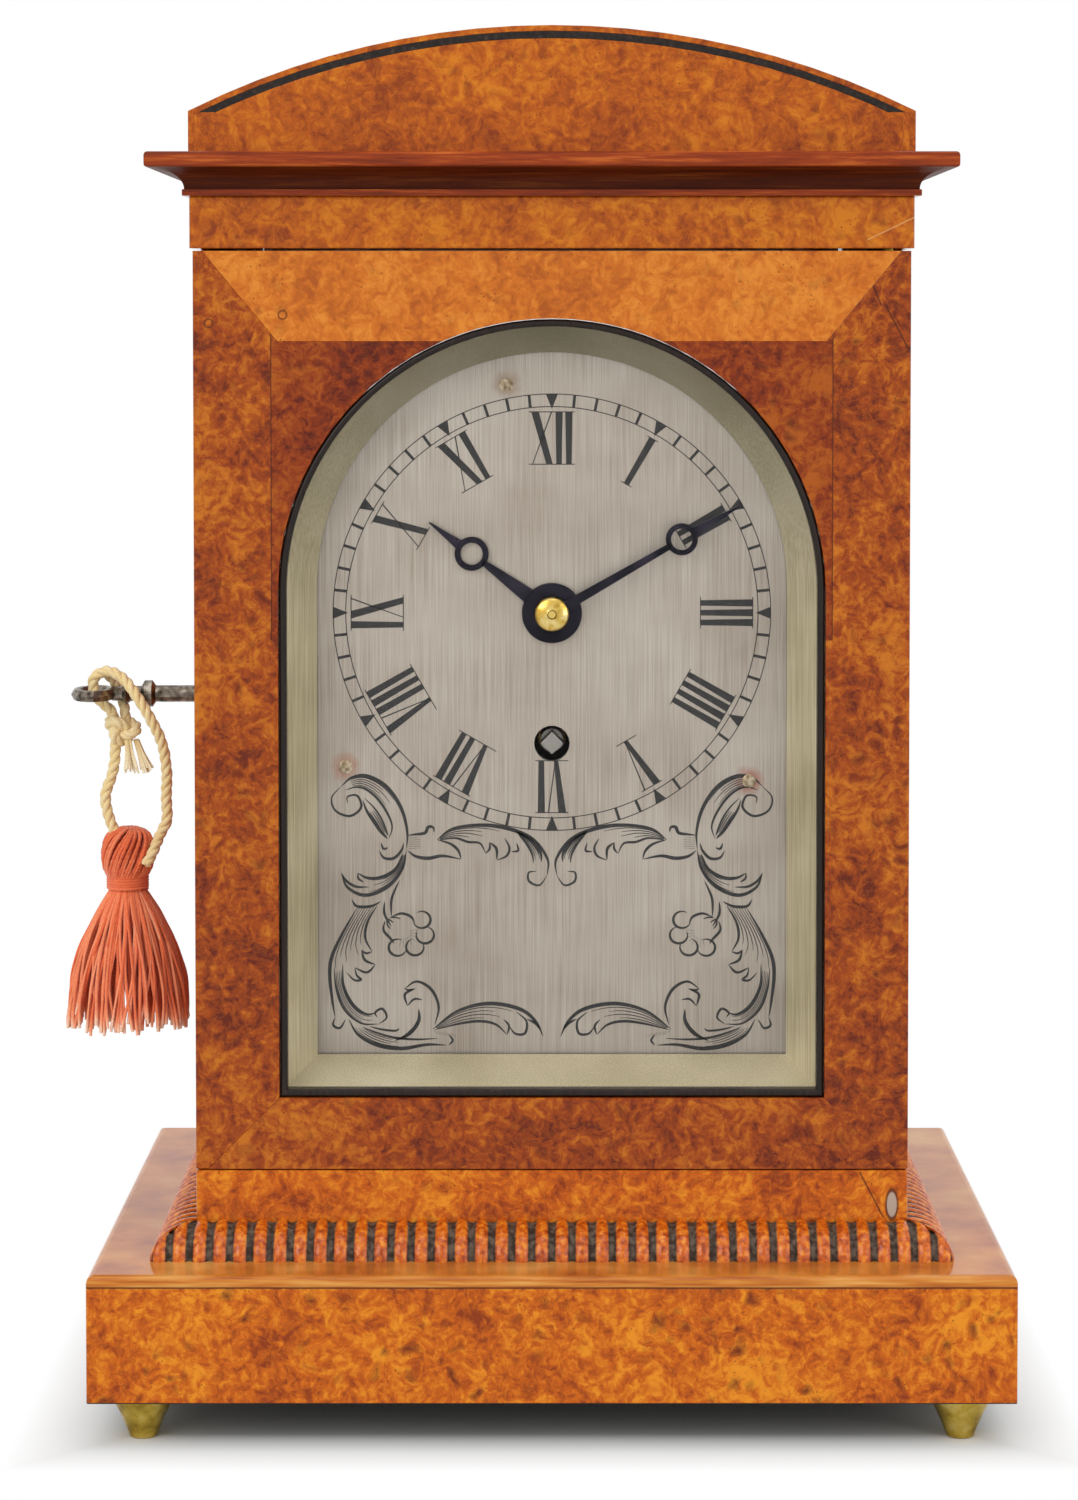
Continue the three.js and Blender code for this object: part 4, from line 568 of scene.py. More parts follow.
def silvered_surface(name, tones, stains=(), metallic=0.8, top_shade=0.0):
    """Silvered brass with upright graining, and a stain round each given place on the dial."""
    material, node, shader = new_material(name, Metallic=metallic, Roughness=0.42)
    own = millimetres(node)
    strokes = millimetres(node, (1.0, 1.0, 0.012))
    grain = node("TexNoise", {"Vector": strokes, "Scale": 1 / GRAINING_MM, "Detail": 3.0})
    cloud = node("TexNoise", {"Vector": own, "Scale": 1 / DULLING_MM, "Detail": 3.0})
    clouds = node("Math", (cloud, 0.45), operation="MULTIPLY")
    tone = node("Math", (grain, 0.55, clouds), operation="MULTIPLY_ADD")
    colour = node("ValToRGB", (tone,), stops=zip((0.36, 0.5, 0.64), tones))
    for x, z, stain in stains:
        off = node("VectorMath", (own, (x, DIAL_FACE, z)), out="Value", operation="DISTANCE")
        wander = node("TexNoise", {"Vector": own, "Scale": 1 / STAIN_MM, "Detail": 3.0})
        ragged = node("Math", (wander, 2.4, off), operation="MULTIPLY_ADD")
        strength = node("MapRange", (ragged, 2.4, 4.6, 0.75, 0.0))
        colour = node("Mix", {0: strength, 6: colour, 7: stain}, **MIX)
    height = node("SeparateXYZ", (own,), out="Z")
    shadow = node("MapRange", (height, 165.0, 232.0, 0.0, top_shade))
    connect(shader, {
        "Base Color": node("Mix", {0: shadow, 6: colour, 7: "#56564A"}, **MIX),
        "Normal": node("Bump", {"Strength": 0.1, "Distance": mm(0.04), "Height": grain}),
    })
    return material


silvered_dial = silvered_surface("silvered_dial", ("#93887B", "#A69C90", "#B5ADA2"), RIVETS)
silvered_slip = silvered_surface("silvered_slip", ("#ACA280", "#C8BD9C", "#DED4B8"), (), 0.45, 0.72)
print("stains on the dial", len(RIVETS))

# %% [markdown]
# ## Glass, gut and black wax
# The glass is thin and clean, so it bends nothing and only adds a faint sheen. Lamps shine through it,
# which a transparent shader for shadow rays allows. The gut line is twisted and oiled, and the engraving is
# filled with black wax.

# %% Glass, gut and wax
glass, node, shader = new_material("clear_glass", Base_Color="#FFFFFF", Roughness=0.02, IOR=1.12,
                                   Transmission_Weight=1.0)
path = node("LightPath").node.outputs
lamp_ray = node("Math", (path["Is Shadow Ray"], path["Is Diffuse Ray"]), operation="MAXIMUM")
choice = node("MixShader", (lamp_ray, shader.outputs[0], node("BsdfTransparent")))
connect(glass.node_tree.nodes["Material Output"], {"Surface": choice})

gut = straight_grain("oiled_gut", ("#8E7440", "#B99C5C", "#D4BC80"), 0.5, 1, False)

wax, node, shader = new_material("black_wax", Roughness=0.5)
wear = node("TexNoise", {"Vector": millimetres(node), "Scale": 1 / 1.2, "Detail": 4.0})
worn_black = node("ValToRGB", (wear,), stops=[(0.35, "#0E0C0C"), (0.6, "#181614"), (0.78, "#3A342E")])
connect(shader, {"Base Color": worn_black})
print("glass", glass.name, "line", gut.name, "engraving", wax.name)

# %% [markdown]
# ## Silk
# Cord and tassel are spun silk and cotton: dull, with a soft sheen along the fibres. The tassel's shade
# value runs from its bound head to its cut ends, where the dye has faded and the fibres have opened.

# %% Silk


def silk(name, stops, fibre_mm=0.35):
    """Spun thread: its colour follows the mesh's shade value, with fine fibres over it."""
    material, node, shader = new_material(name, Roughness=0.85, Sheen_Weight=0.35, Sheen_Roughness=0.5)
    shade = node("Attribute", out="Fac", attribute_name="shade")
    fibre = node("TexNoise", {"Vector": millimetres(node), "Scale": 1 / fibre_mm, "Detail": 3.0})
    fleck = node("MapRange", (fibre, 0.25, 0.75, -0.12, 0.12))
    tone = node("Math", (shade, fleck), operation="ADD")
    normal = node("Bump", {"Strength": 0.5, "Distance": mm(0.15), "Height": fibre})
    connect(shader, {"Base Color": node("ValToRGB", (tone,), stops=stops), "Normal": normal})
    return material


cord_silk = silk("cream_silk_cord", [(0.0, "#C8943E"), (0.35, "#F2D696"), (0.8, "#FFF2D0")])
tassel_silk = silk("coral_silk", [(0.0, "#B83C12"), (0.4, "#F0703C"), (0.7, "#FFA274"), (0.95, "#FFD8BC")])
print("silks", cord_silk.name, tassel_silk.name)

# %% [markdown]
# ## Dressing the CAD pieces
# A plain joiner's piece needs no new mesh: the CAD shape is right, and only wants its finish and a softened
# arris, because no real edge is perfectly sharp. The weld and bevel modifiers do that without touching the
# mesh. Behind the winding hole the dial shows a dark gap and the fusee's steel square, so two pieces of the
# movement get painted shade there: near black round the square, which keeps a steel tone.

# %% Finish for the CAD nodes
WINDING_Z, BEHIND_DIAL_Y, SQUARE_REACH = 137.3, -20.0, 2.4


def winding_metal(name, reach_mm, hole_shade_code, square_code):
    """Movement brass with near-black painted shade round the winding square, behind the hole in the dial, and
    a steel tone on the square.
    """
    material = aged_metal(name, MOVEMENT_TONES, 0.3, 12.0)
    node, shader = partial(add, material.node_tree), material.node_tree.nodes["Principled BSDF"]
    own = millimetres(node)
    level = node("VectorMath", (own, (1.0, 0.0, 1.0)), operation="MULTIPLY")
    radius = node("VectorMath", (level, (0.0, 0.0, WINDING_Z)), out="Value", operation="DISTANCE")
    forward = node("Math", (node("SeparateXYZ", (own,), out="Y"), BEHIND_DIAL_Y), operation="LESS_THAN")
    close = node("Math", (radius, reach_mm), operation="LESS_THAN")
    # Painted shade: in front of the movement and near the winding arbor the brass turns near black.
    near = node("Math", (close, forward), operation="MULTIPLY")
    on_square = node("Math", (radius, SQUARE_REACH), operation="LESS_THAN")
    tone = node("Mix", {0: on_square, 6: hole_shade_code, 7: square_code}, **MIX)
    brass_tone = shader.inputs["Base Color"].links[0].from_socket
    connect(shader, {"Base Color": node("Mix", {0: near, 6: brass_tone, 7: tone}, **MIX)})
    return material


def dress(material, *nodes, arris_mm=0.0):
    """Gives CAD nodes a material, and rounds their arrises a little."""
    for name in nodes:
        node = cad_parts[name]
        node.data.materials.clear()
        node.data.materials.append(material)
        if arris_mm:
            weld = node.modifiers.new("weld", "WELD")
            weld.merge_threshold = mm(0.01)
            bevel = node.modifiers.new("arris", "BEVEL")
            bevel.width = mm(arris_mm)
            bevel.segments = 2
            bevel.limit_method = "ANGLE"
            bevel.angle_limit = math.radians(35)


dress(burr_plinth, "plinth", arris_mm=0.4)
dress(burr_rail, "base_rail", arris_mm=0.4)
dress(burr_side, "case_side_left", "case_side_right", arris_mm=0.4)
dress(burr_frieze, "frieze", arris_mm=0.4)
dress(burr_pediment, "pediment", arris_mm=0.4)
dress(arch_line, "stringing")
dress(iron, "key", arris_mm=0.25)
dress(burr_head, "door_head_rail", arris_mm=0.15)
dress(burr_foot_rail, "door_bottom_rail", arris_mm=0.15)
dress(stile_left_veneer, "door_stile_left", arris_mm=0.2)
dress(stile_right_veneer, "door_stile_right", arris_mm=0.2)
dress(oak, "back_door_frame", arris_mm=0.3)
dress(oak_board, "seatboard", arris_mm=0.3)
dress(glass, "door_glass", "back_door_glass")
dress(silvered_dial, "dial")
dress(brass, "strike_plate", "hinge_leaf_door_bottom", "hinge_leaf_door_top", "hinge_leaf_case_bottom",
      "hinge_leaf_case_top", "back_pivot_bottom", "back_pivot_top", "back_door_knob", "lock_bolt")
dress(movement_brass, "back_plate", "barrel", "centre_wheel", "third_wheel",
      "escape_wheel", "back_cock", "pendulum", "rating_nut", "cannon_pinion", "minute_wheel", "hour_wheel")
dress(steel, "anchor")
# Painted shade: both pieces go near black round the winding square, as the gap behind the dial's hole.
dress(winding_metal("fusee_and_winding_square", 3.0, "#1C1916", "#8E8A84"), "fusee")
dress(winding_metal("front_plate_brass", 9.0, "#14100C", "#14100C"), "front_plate")
dress(iron, "lock_case")
dress(gut, "gut_line")
print("dressed", sum(1 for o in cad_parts.values() if o.data.materials))

# %% [markdown]
# ## The gadroon moulding
# Gadroons are a row of small raised ribs. The carver cuts them across a quarter-round moulding, then mitres
# four lengths of it round the foot of the case. Each rib is round, each groove between two ribs is narrow
# and dark, and towards the case the grooves flare like a swallow's tail. The shade value marks the groove
# for the material.

# %% Gadroon meshes
GADROON_OUT, GADROON_HIGH, GADROON_PITCH = 8.8, 6.8, 4.05
GROOVE_DEEP, RIB_ROUND, GROOVE_HALF, GROOVE_FLARE = 1.05, 0.42, 0.2, 0.09
RIB_SAMPLES, PROFILE_ROWS = 14, 12
CASE_HALF_WIDE, CASE_HALF_DEEP = 72.4, 48.4


def groove_depth(phase, climb):
    """How deep the surface lies at a phase of the rib (0 and 1 are groove middles), climb running 0 to 1."""
    half = GROOVE_HALF + GROOVE_FLARE * climb ** 4
    off = min(phase, 1 - phase)
    if off < half:
        return RIB_ROUND + (GROOVE_DEEP - RIB_ROUND) * math.cos(off / half * math.pi / 2)
    round_share = (off - half) / (0.5 - half)
    return RIB_ROUND * (1 - math.sin(round_share * math.pi / 2))


def gadroon_length(inner_half):
    """One mitred length, running along X and standing out towards -Y."""
    outer_half = inner_half + GADROON_OUT
    ribs = round(2 * outer_half / GADROON_PITCH)
    columns = ribs * RIB_SAMPLES
    rows, shades = [], []
    for row in range(-1, PROFILE_ROWS + 2):
        inside = row in (-1, PROFILE_ROWS + 1)
        climb = min(max(row, 0), PROFILE_ROWS) / PROFILE_ROWS
        angle = climb * math.pi / 2
        line, tint = [], []
        for column in range(columns + 1):
            phase = (column % RIB_SAMPLES) / RIB_SAMPLES
            deep = groove_depth(phase, climb)
            share = 0.0 if inside else 1 - deep / GADROON_OUT
            out = GADROON_OUT * share * math.cos(angle)
            high = GADROON_HIGH * share * math.sin(angle)
            x = -outer_half + column * 2 * outer_half / columns
            line.append((max(-inner_half - out, min(inner_half + out, x)), -out, high))
            tint.append(min(1.0, max(0.0, (deep - 0.3) / 0.4)))
        rows.append(line)
        shades.append(tint)
    return rows, shades


def gadroon_material():
    """Polished wood on the ribs, old dust and dark wax in the grooves, a little rubbed at their edges."""
    material, node, shader = french_polished("gadroon_polish")
    grain = node("TexNoise", {"Vector": millimetres(node), "Scale": 1 / 1.2, "Detail": 5.0})
    wood = node("ValToRGB", (grain,), stops=[(0.3, "#94360A"), (0.5, "#D0620C"), (0.7, "#EC9228")])
    shade = node("Attribute", out="Fac", attribute_name="shade")
    dust = node("Mix", {0: node("MapRange", (grain, 0.4, 0.65)), 6: "#3A2E26", 7: "#6A5C50"}, **MIX)
    dusted = node("MapRange", (shade, 0.1, 0.75))
    connect(shader, {
        "Base Color": node("Mix", {0: dusted, 6: wood, 7: dust}, **MIX),
        "Coat Weight": node("MapRange", (shade, 0.1, 0.8, 1.0, 0.1)),
        "Coat IOR": 1.36,
    })
    return material


gadroon_polish = gadroon_material()
SIDES = [
    ("front", CASE_HALF_WIDE, (0, -CASE_HALF_DEEP), 0),
    ("right", CASE_HALF_DEEP, (CASE_HALF_WIDE, 0), 90),
    ("back", CASE_HALF_WIDE, (0, CASE_HALF_DEEP), 180),
    ("left", CASE_HALF_DEEP, (-CASE_HALF_WIDE, 0), 270),
]
for side_name, inner_half, (x, y), turn in SIDES:
    rows, shades = gadroon_length(inner_half)
    place = Matrix.Translation((x, y, PLINTH_TOP)) @ Matrix.Rotation(math.radians(turn), 4, "Z")
    gadroon_form = Form()
    gadroon_form.skin([[place @ Vector(point) for point in row] for row in rows], shades)
    make_piece("gadroons_" + side_name, gadroon_form, gadroon_polish, "case",
               ["gadroon_" + side_name])

# %% [markdown]
# ## The cornice
# A cornice is one plane moulding run round the case: a small fillet, a hollow called the cavetto, and a
# lip. Here it is drawn as a profile of distance from the case and height, which is taken round the four
# mitres. The hollow faces down, so its colour carries painted shade and its polish coat is thinner there; the
# lip keeps its full colour and polish.

# %% Cornice mesh
CORNICE_LOW, CORNICE_HIGH = span("cornice")[0].z, span("cornice")[1].z
LIP_OUT, LIP_TALL, FILLET_OUT, HOLLOW_OUT = 8.8, 3.1, 1.9, 1.5


def cornice_profile():
    """Triples of distance out, height, and painted shade for the hollow."""
    fillet = [(0.0, 0.0, 0.0), (FILLET_OUT - 0.1, 0.0, 0.0), (FILLET_OUT, 0.15, 0.0),
              (FILLET_OUT, 1.25, 0.05), (HOLLOW_OUT, 1.35, 0.9)]
    profile = [(out, CORNICE_LOW + up, painted_shade) for out, up, painted_shade in fillet]
    low, high = CORNICE_LOW + 1.4, CORNICE_HIGH - LIP_TALL
    for step in range(13):
        angle = step / 12 * math.pi / 2
        out = HOLLOW_OUT + (LIP_OUT - HOLLOW_OUT - 0.9) * (1 - math.cos(angle))
        profile.append((out, low + (high - low) * math.sin(angle), 1.0 - 0.25 * step / 12))
    lip = [(0.35, high + 0.02, 0.6), (0.05, high + 0.3, 0.1), (0.0, high + 0.8, 0.0),
           (0.0, CORNICE_HIGH - 0.7, 0.0), (0.2, CORNICE_HIGH - 0.2, 0.0), (0.6, CORNICE_HIGH, 0.0)]
    profile += [(LIP_OUT - back, z, painted_shade) for back, z, painted_shade in lip]
    return [*profile, (0.0, CORNICE_HIGH, 0.0)]


cornice_form = Form()
rows, shades = [], []
for out, z, painted_shade in cornice_profile():
    x, y = CASE_HALF_WIDE + out, CASE_HALF_DEEP + out
    rows.append([(-x, -y, z), (x, -y, z), (x, y, z), (-x, y, z)])
    shades.append([painted_shade] * 4)
cornice_form.skin(rows, shades, around=True, caps=True)
node, shader = partial(add, cornice_wood.node_tree), cornice_wood.node_tree.nodes["Principled BSDF"]
shade = node("Attribute", out="Fac", attribute_name="shade")
# Painted shade: the downward-facing hollow is darkened towards a near-black brown.
painted_hollow_shade = node("Math", (shade, 0.82), operation="MULTIPLY")
bare_wood = shader.inputs["Base Color"].links[0].from_socket
connect(shader, {
    "Base Color": node("Mix", {0: painted_hollow_shade, 6: bare_wood, 7: "#240C05"}, **MIX),
    "Coat Weight": node("MapRange", (shade, 0.1, 0.7, 0.8, 0.06)),
})
make_piece("cornice_moulding", cornice_form, cornice_wood, "case", ["cornice"], 25)

# %% [markdown]
# ## Feet and bead
# The feet are cast and turned brass bells: a narrow pad on the floor, and above it a flare that opens
# towards the plinth. The bead that holds the glass is a thin half-round of blackened wood, and behind the
# glass a bevelled slip of silvered brass leads the eye down to the dial.

# %% Feet
PAD_RADIUS, PAD_TALL, BELL_FLARE = 3.0, 0.8, 4.25
for node in ("foot_front_left", "foot_front_right", "foot_back_left", "foot_back_right"):
    low, high = span(node)
    middle = (low + high) / 2
    tall = high.z - low.z
    profile = [(0.0, 0.0), (2.4, 0.0), (2.85, 0.25), (PAD_RADIUS, PAD_TALL)]
    for step in range(1, 13):
        t = step / 12
        radius = PAD_RADIUS + BELL_FLARE * (0.75 * t + 0.25 * t * t)
        profile.append((radius, PAD_TALL + (tall - PAD_TALL) * t))
    profile.append((0.0, tall))
    foot_form = Form()
    foot_form.turned(profile, (middle.x, middle.y, 0), (0, 0, 1), 48)
    make_piece(node + "_bell", foot_form, brass, "case", [node])

# %% Bead and slip


def aperture_line(half, y, rise=1.0, steps=64):
    """The closed line round the door's opening: flat sill, straight sides, half-round head."""
    bottom = APERTURE_BOTTOM + (APERTURE_HALF - half) * rise
    head = [(half * math.cos(math.pi * k / steps), y, APERTURE_SPRING + half * math.sin(math.pi * k / steps))
            for k in range(steps + 1)]
    return [(-half, y, bottom), (half, y, bottom), *head]


bead_form = Form()
BEAD_OUTER, BEAD_MIDDLE, BEAD_INNER = 55.28, 54.53, 53.78
BEAD_BACK, BEAD_FRONT = -44.6, -47.3
bead_rows = [(BEAD_OUTER, BEAD_BACK), (BEAD_OUTER, BEAD_FRONT)]
for step in range(1, 8):
    angle = math.pi * step / 8
    bead_rows.append((BEAD_MIDDLE + 0.75 * math.cos(angle), BEAD_FRONT - 0.7 * math.sin(angle)))
bead_rows += [(BEAD_INNER, BEAD_FRONT), (BEAD_INNER, BEAD_BACK), (BEAD_OUTER, BEAD_BACK)]
bead_form.skin([aperture_line(half, y) for half, y in bead_rows], around=True)
make_piece("aperture_bead", bead_form, ebonised, "front_door", ["glass_bead"])
slip_form = Form()
slip_rows = [(55.2, -42.4), (54.0, -42.4), (53.6, -42.0), (48.7, -33.4), (48.5, -33.2), (49.7, -33.2),
             (55.2, -41.5), (55.2, -42.4)]
slip_form.skin([aperture_line(half, y, 0.87) for half, y in slip_rows], around=True)
make_piece("sight_slip", slip_form, silvered_slip, "front_door", ["dial_slip"], 30)

# %% [markdown]
# ## Hands and collet
# The hands are flat blued steel: a tapered arm, a pierced ring, and a pointed tip. The brass collet under
# the hand pin is domed and bright. The hour hand's broad boss makes the black ring round it.

# %% Hands


def plate(form, outline, near, far):
    """A flat shape with thickness: outline pairs are across and along, near and far are depths."""
    depths = (far, near + (far - near) * 0.25, near)
    form.skin([[(x, y, z) for x, z in outline] for y in depths], around=True, caps=True)


def lathe(form, section, middle_z, sides=56):
    """A section of radius and depth pairs, turned round an axis that points out of the dial."""
    form.skin([[(r * c, y, middle_z + r * s) for c, s in circle(sides)] for r, y in section], around=True)


def washer(form, middle_z, outer, inner, near, far, bevel=0.12):
    """A flat ring with softened edges."""
    section = [(inner, far), (inner, near + bevel), (inner + bevel, near), (outer - bevel, near),
               (outer, near + bevel), (outer, far), (inner, far)]
    lathe(form, section, middle_z)


def hand(name, body, node, length, ring, outer, inner, boss, bore, face, thickness, degrees):
    """One hand, drawn pointing to twelve and then turned to its time."""
    form = Form()
    near, far = face, face + thickness
    washer(form, 0, boss, bore, near, far)
    washer(form, ring, outer, inner, near, far)
    root, neck = boss * 0.2 + 0.35, 0.62
    start, end = boss - 0.5, ring - outer + 0.5
    plate(form, [(-root, start), (root, start), (neck, end), (-neck, end)], near, far)
    foot = ring + outer - 0.35
    plate(form, [(-1.05, foot), (1.05, foot), (0.62, foot + (length - foot) * 0.45), (0.12, length),
                 (-0.12, length), (-0.62, foot + (length - foot) * 0.45)], near, far)
    turn = Matrix.Translation(mm(0, 0, DIAL_CENTRE)) @ Matrix.Rotation(math.radians(degrees), 4, "Y")
    form.vertices = [turn @ vertex for vertex in form.vertices]
    return make_piece(name, form, blued_steel, body, [node])


hand("hour_hand_blued", "hour", "hour_hand", length=31.5, ring=20.6, outer=3.5, inner=2.3, boss=6.2,
     bore=3.5, face=-33.6, thickness=0.9, degrees=306.5)
hand("minute_hand_blued", "centre", "minute_hand", length=44.9, ring=30.8, outer=3.3, inner=2.2, boss=3.4,
     bore=2.3, face=-36.4, thickness=0.8, degrees=60)
collet_form = Form()
DOME_RADIUS, DOME_TALL, DOME_BASE = 3.5, 1.1, -36.75
dome = [(0.95, DOME_BASE), (DOME_RADIUS, DOME_BASE)]
for step in range(13):
    angle = 1.25 * step / 12
    dome.append((DOME_RADIUS * math.cos(angle), DOME_BASE - DOME_TALL * math.sin(angle)))
dome += [(0.95, DOME_BASE - DOME_TALL), (0.95, DOME_BASE)]
lathe(collet_form, dome, DIAL_CENTRE)
collet_brass = aged_metal("polished_collet_brass", ("#A07C2C", "#C9A850", "#E2CC88"), 0.22, 2.0)
make_piece("hand_collet_dome", collet_form, collet_brass, "centre", ["hand_collet"])

# %% [markdown]
# ## Engraving on the dial
# The engraver cuts lines that swell and taper, and fills them with black wax. A flat stroke collector draws
# them just in front of the dial: straight bars for the numerals, and for the leaf scrolls strokes that run
# smoothly through chosen points, broad in the middle and thin at both ends, as a burin leaves them.

# %% Engraved strokes
ENGRAVED_Y = DIAL_FACE - 0.03


class Engraving:
    """Flat black shapes in the plane of the dial; pairs are X and Z in millimetres."""

    def __init__(self):
        self.form = Form()

    def patch(self, outline):
        """One flat face."""
        start = len(self.form.vertices)
        self.form.vertices.extend(mm(x, ENGRAVED_Y, z) for x, z in outline)
        self.form.shades.extend([0.0] * len(outline))
        self.form.faces.append(tuple(range(start, start + len(outline))))

    def stroke(self, points, width, taper=1.0):
        """A line with a width in its middle that thins towards both ends by the taper."""
        points = [Vector(p) for p in points]
        held = [points[0], *points, points[-1]]
        edges = []
        for number, (before, place, after) in enumerate(zip(held, points, held[2:])):
            along = (after - before).normalized()
            share = number / (len(points) - 1)
            swell = 1 - taper + taper * math.sin(math.pi * share) ** 0.7
            across = Vector((-along.y, along.x)) * (width * 0.58 * swell + 0.03)
            edges.append((place + across, place - across))
        for (a, b), (c, d) in zip(edges, edges[1:]):
            self.patch([a, b, d, c])


# %% [markdown]
# The chapter ring has two fine circles with a bar at each minute and a small arrowhead at each five. The
# Roman numerals stand with their feet to the centre. Their upright strokes are thick, and hairlines tie the
# feet and the heads together.

# %% Chapter ring and numerals
RING_OUTER, RING_INNER, HAIR = 45.2, 42.6, 0.2
NUMERAL_FOOT, NUMERAL_HEAD = 30.7, 41.5
engraving = Engraving()


def on_dial(degrees, across, out):
    """A place on the dial from its angle, the distance across the ray, and the distance from the centre."""
    angle = math.radians(degrees)
    return (out * math.sin(angle) + across * math.cos(angle),
            DIAL_CENTRE + out * math.cos(angle) - across * math.sin(angle))


for radius in (RING_INNER, RING_OUTER):
    low, high = radius - HAIR / 2, radius + HAIR / 2
    for start in range(0, 360, 2):
        corners = [(start, low), (start, high), (start + 2, high), (start + 2, low)]
        engraving.patch([on_dial(degrees, 0, out) for degrees, out in corners])
for minute in range(60):
    degrees = minute * 6
    if minute % 5:
        outline = [(-0.3, RING_INNER), (-0.3, RING_OUTER), (0.3, RING_OUTER), (0.3, RING_INNER)]
    else:
        outline = [(-1.25, RING_OUTER), (1.25, RING_OUTER), (0.0, RING_INNER - 0.5)]
    engraving.patch([on_dial(degrees, across, out) for across, out in outline])


def bar(degrees, foot, head, foot_wide, head_wide):
    """A straight stroke between two places given across the ray, foot and head."""
    outline = [(foot - foot_wide / 2, NUMERAL_FOOT), (head - head_wide / 2, NUMERAL_HEAD),
               (head + head_wide / 2, NUMERAL_HEAD), (foot + foot_wide / 2, NUMERAL_FOOT)]
    engraving.patch([on_dial(degrees, across, out) for across, out in outline])


WIDTHS = {"I": 1.35, "V": 3.7, "X": 4.3}
LETTER_GAP, SERIF_PAST = 0.68, 0.55
for hour, numeral in enumerate("XII I II III IIII V VI VII VIII IX X XI".split()):
    degrees = hour * 30
    whole = sum(WIDTHS[letter] for letter in numeral) + LETTER_GAP * (len(numeral) - 1)
    left = -whole / 2
    for letter in numeral:
        right = left + WIDTHS[letter]
        middle = (left + right) / 2
        if letter == "I":
            bar(degrees, middle, middle, 1.15, 1.5)
        elif letter == "V":
            bar(degrees, middle + 0.15, left + 0.7, 0.9, 1.6)
            bar(degrees, middle + 0.3, right - 0.1, HAIR, HAIR * 1.5)
        else:
            bar(degrees, right - 0.6, left + 0.7, 1.35, 1.6)
            bar(degrees, left + 0.2, right - 0.2, HAIR, HAIR * 1.5)
        left = right + LETTER_GAP
    reach = whole / 2 + SERIF_PAST
    for out in (NUMERAL_FOOT, NUMERAL_HEAD):
        low, high = out - HAIR / 2, out + HAIR / 2
        corners = [(-reach, low), (-reach, high), (reach, high), (reach, low)]
        engraving.patch([on_dial(degrees, across, place) for across, place in corners])
print("engraved patches", len(engraving.form.faces))

# %% [markdown]
# The lower corners carry leaf scrolls: one strong line swells and tapers round each curve, a second line
# inside it makes the leaf, lobes break its edge, and fine strokes fan between the two lines on the shaded
# side. Everything is drawn once for the left half and once more mirrored for the right.

# %% Leaf scrolls


def both(points, width, taper=1.0):
    """The stroke and its mirror image."""
    engraving.stroke(points, width, taper)
    engraving.stroke([(-x, z) for x, z in points], width, taper)


def swept(width, *points):
    """A smooth stroke through chosen points and its mirror image; gives back its line."""
    line = curve_through([Vector(place) for place in points], 8)
    both(line, width)
    return line


def shaded(one, other, count, start, end, width=0.13):
    """Fine strokes between two lines, over a share of their length, every second one shorter."""
    for number in range(count):
        share = (number + 1) / (count + 1)
        last = end - (end - start) * (0.22 if number % 2 else 0.05)
        fan = []
        for step in range(13):
            along = start + (last - start) * step / 12
            near = one[round(along * (len(one) - 1))]
            far = other[round(along * (len(other) - 1))]
            fan.append(near.lerp(far, share))
        both(fan, width, 0.8)


# %% [markdown]
# The upper scroll goes over from its curl, down the right, and out to the left as a leaf.

# %% Upper scroll
upper = swept(0.66, (-43.6, 128.4), (-41.4, 130.2), (-38.2, 130.5), (-34.3, 128.3), (-31.3, 124.0),
              (-30.0, 119.2), (-30.1, 115.2))
swept(0.4, (-43.6, 128.4), (-45.6, 126.0), (-44.8, 123.3), (-41.8, 122.2), (-39.5, 124.0), (-40.3, 126.4),
      (-42.3, 126.2), (-42.3, 124.8))
inner = swept(0.42, (-42.7, 127.6), (-40.6, 128.2), (-38.6, 127.8), (-36.3, 126.0), (-34.2, 123.0),
              (-33.1, 120.0), (-33.8, 117.4))
shaded(upper, inner, 5, 0.12, 0.62)
rib = swept(0.5, (-39.2, 125.6), (-38.4, 123.4), (-36.9, 121.0), (-35.4, 118.8), (-34.0, 117.4))
rib_far = swept(0.3, (-38.9, 126.0), (-36.9, 124.0), (-35.4, 121.8), (-34.5, 119.8), (-33.9, 118.2))
shaded(rib, rib_far, 3, 0.3, 1.0, 0.18)
swept(0.4, (-35.4, 116.6), (-34.9, 115.4), (-33.9, 115.6))
swept(0.5, (-35.8, 115.0), (-34.8, 113.5), (-32.8, 113.4), (-31.2, 115.0), (-30.7, 116.6))
leaf_low = swept(0.62, (-30.1, 115.2), (-31.0, 111.2), (-34.0, 107.5), (-38.6, 105.7), (-42.3, 107.3),
                 (-43.7, 110.4))
leaf_high = swept(0.6, (-30.9, 114.4), (-32.4, 111.2), (-35.4, 109.4), (-38.2, 109.3), (-40.2, 110.3))
shaded(leaf_low, leaf_high, 4, 0.04, 0.6)
swept(0.45, (-43.7, 110.4), (-42.6, 108.7), (-40.6, 107.5), (-37.9, 107.4))
swept(0.36, (-40.2, 110.3), (-40.1, 109.2), (-39.0, 108.4))
swept(0.5, (-41.5, 104.8), (-40.4, 103.4), (-37.6, 103.4), (-35.4, 104.4))
print("engraved patches", len(engraving.form.faces))

# %% [markdown]
# From it springs a bud to the right, and a long leaf that leaves it towards the middle of the dial.

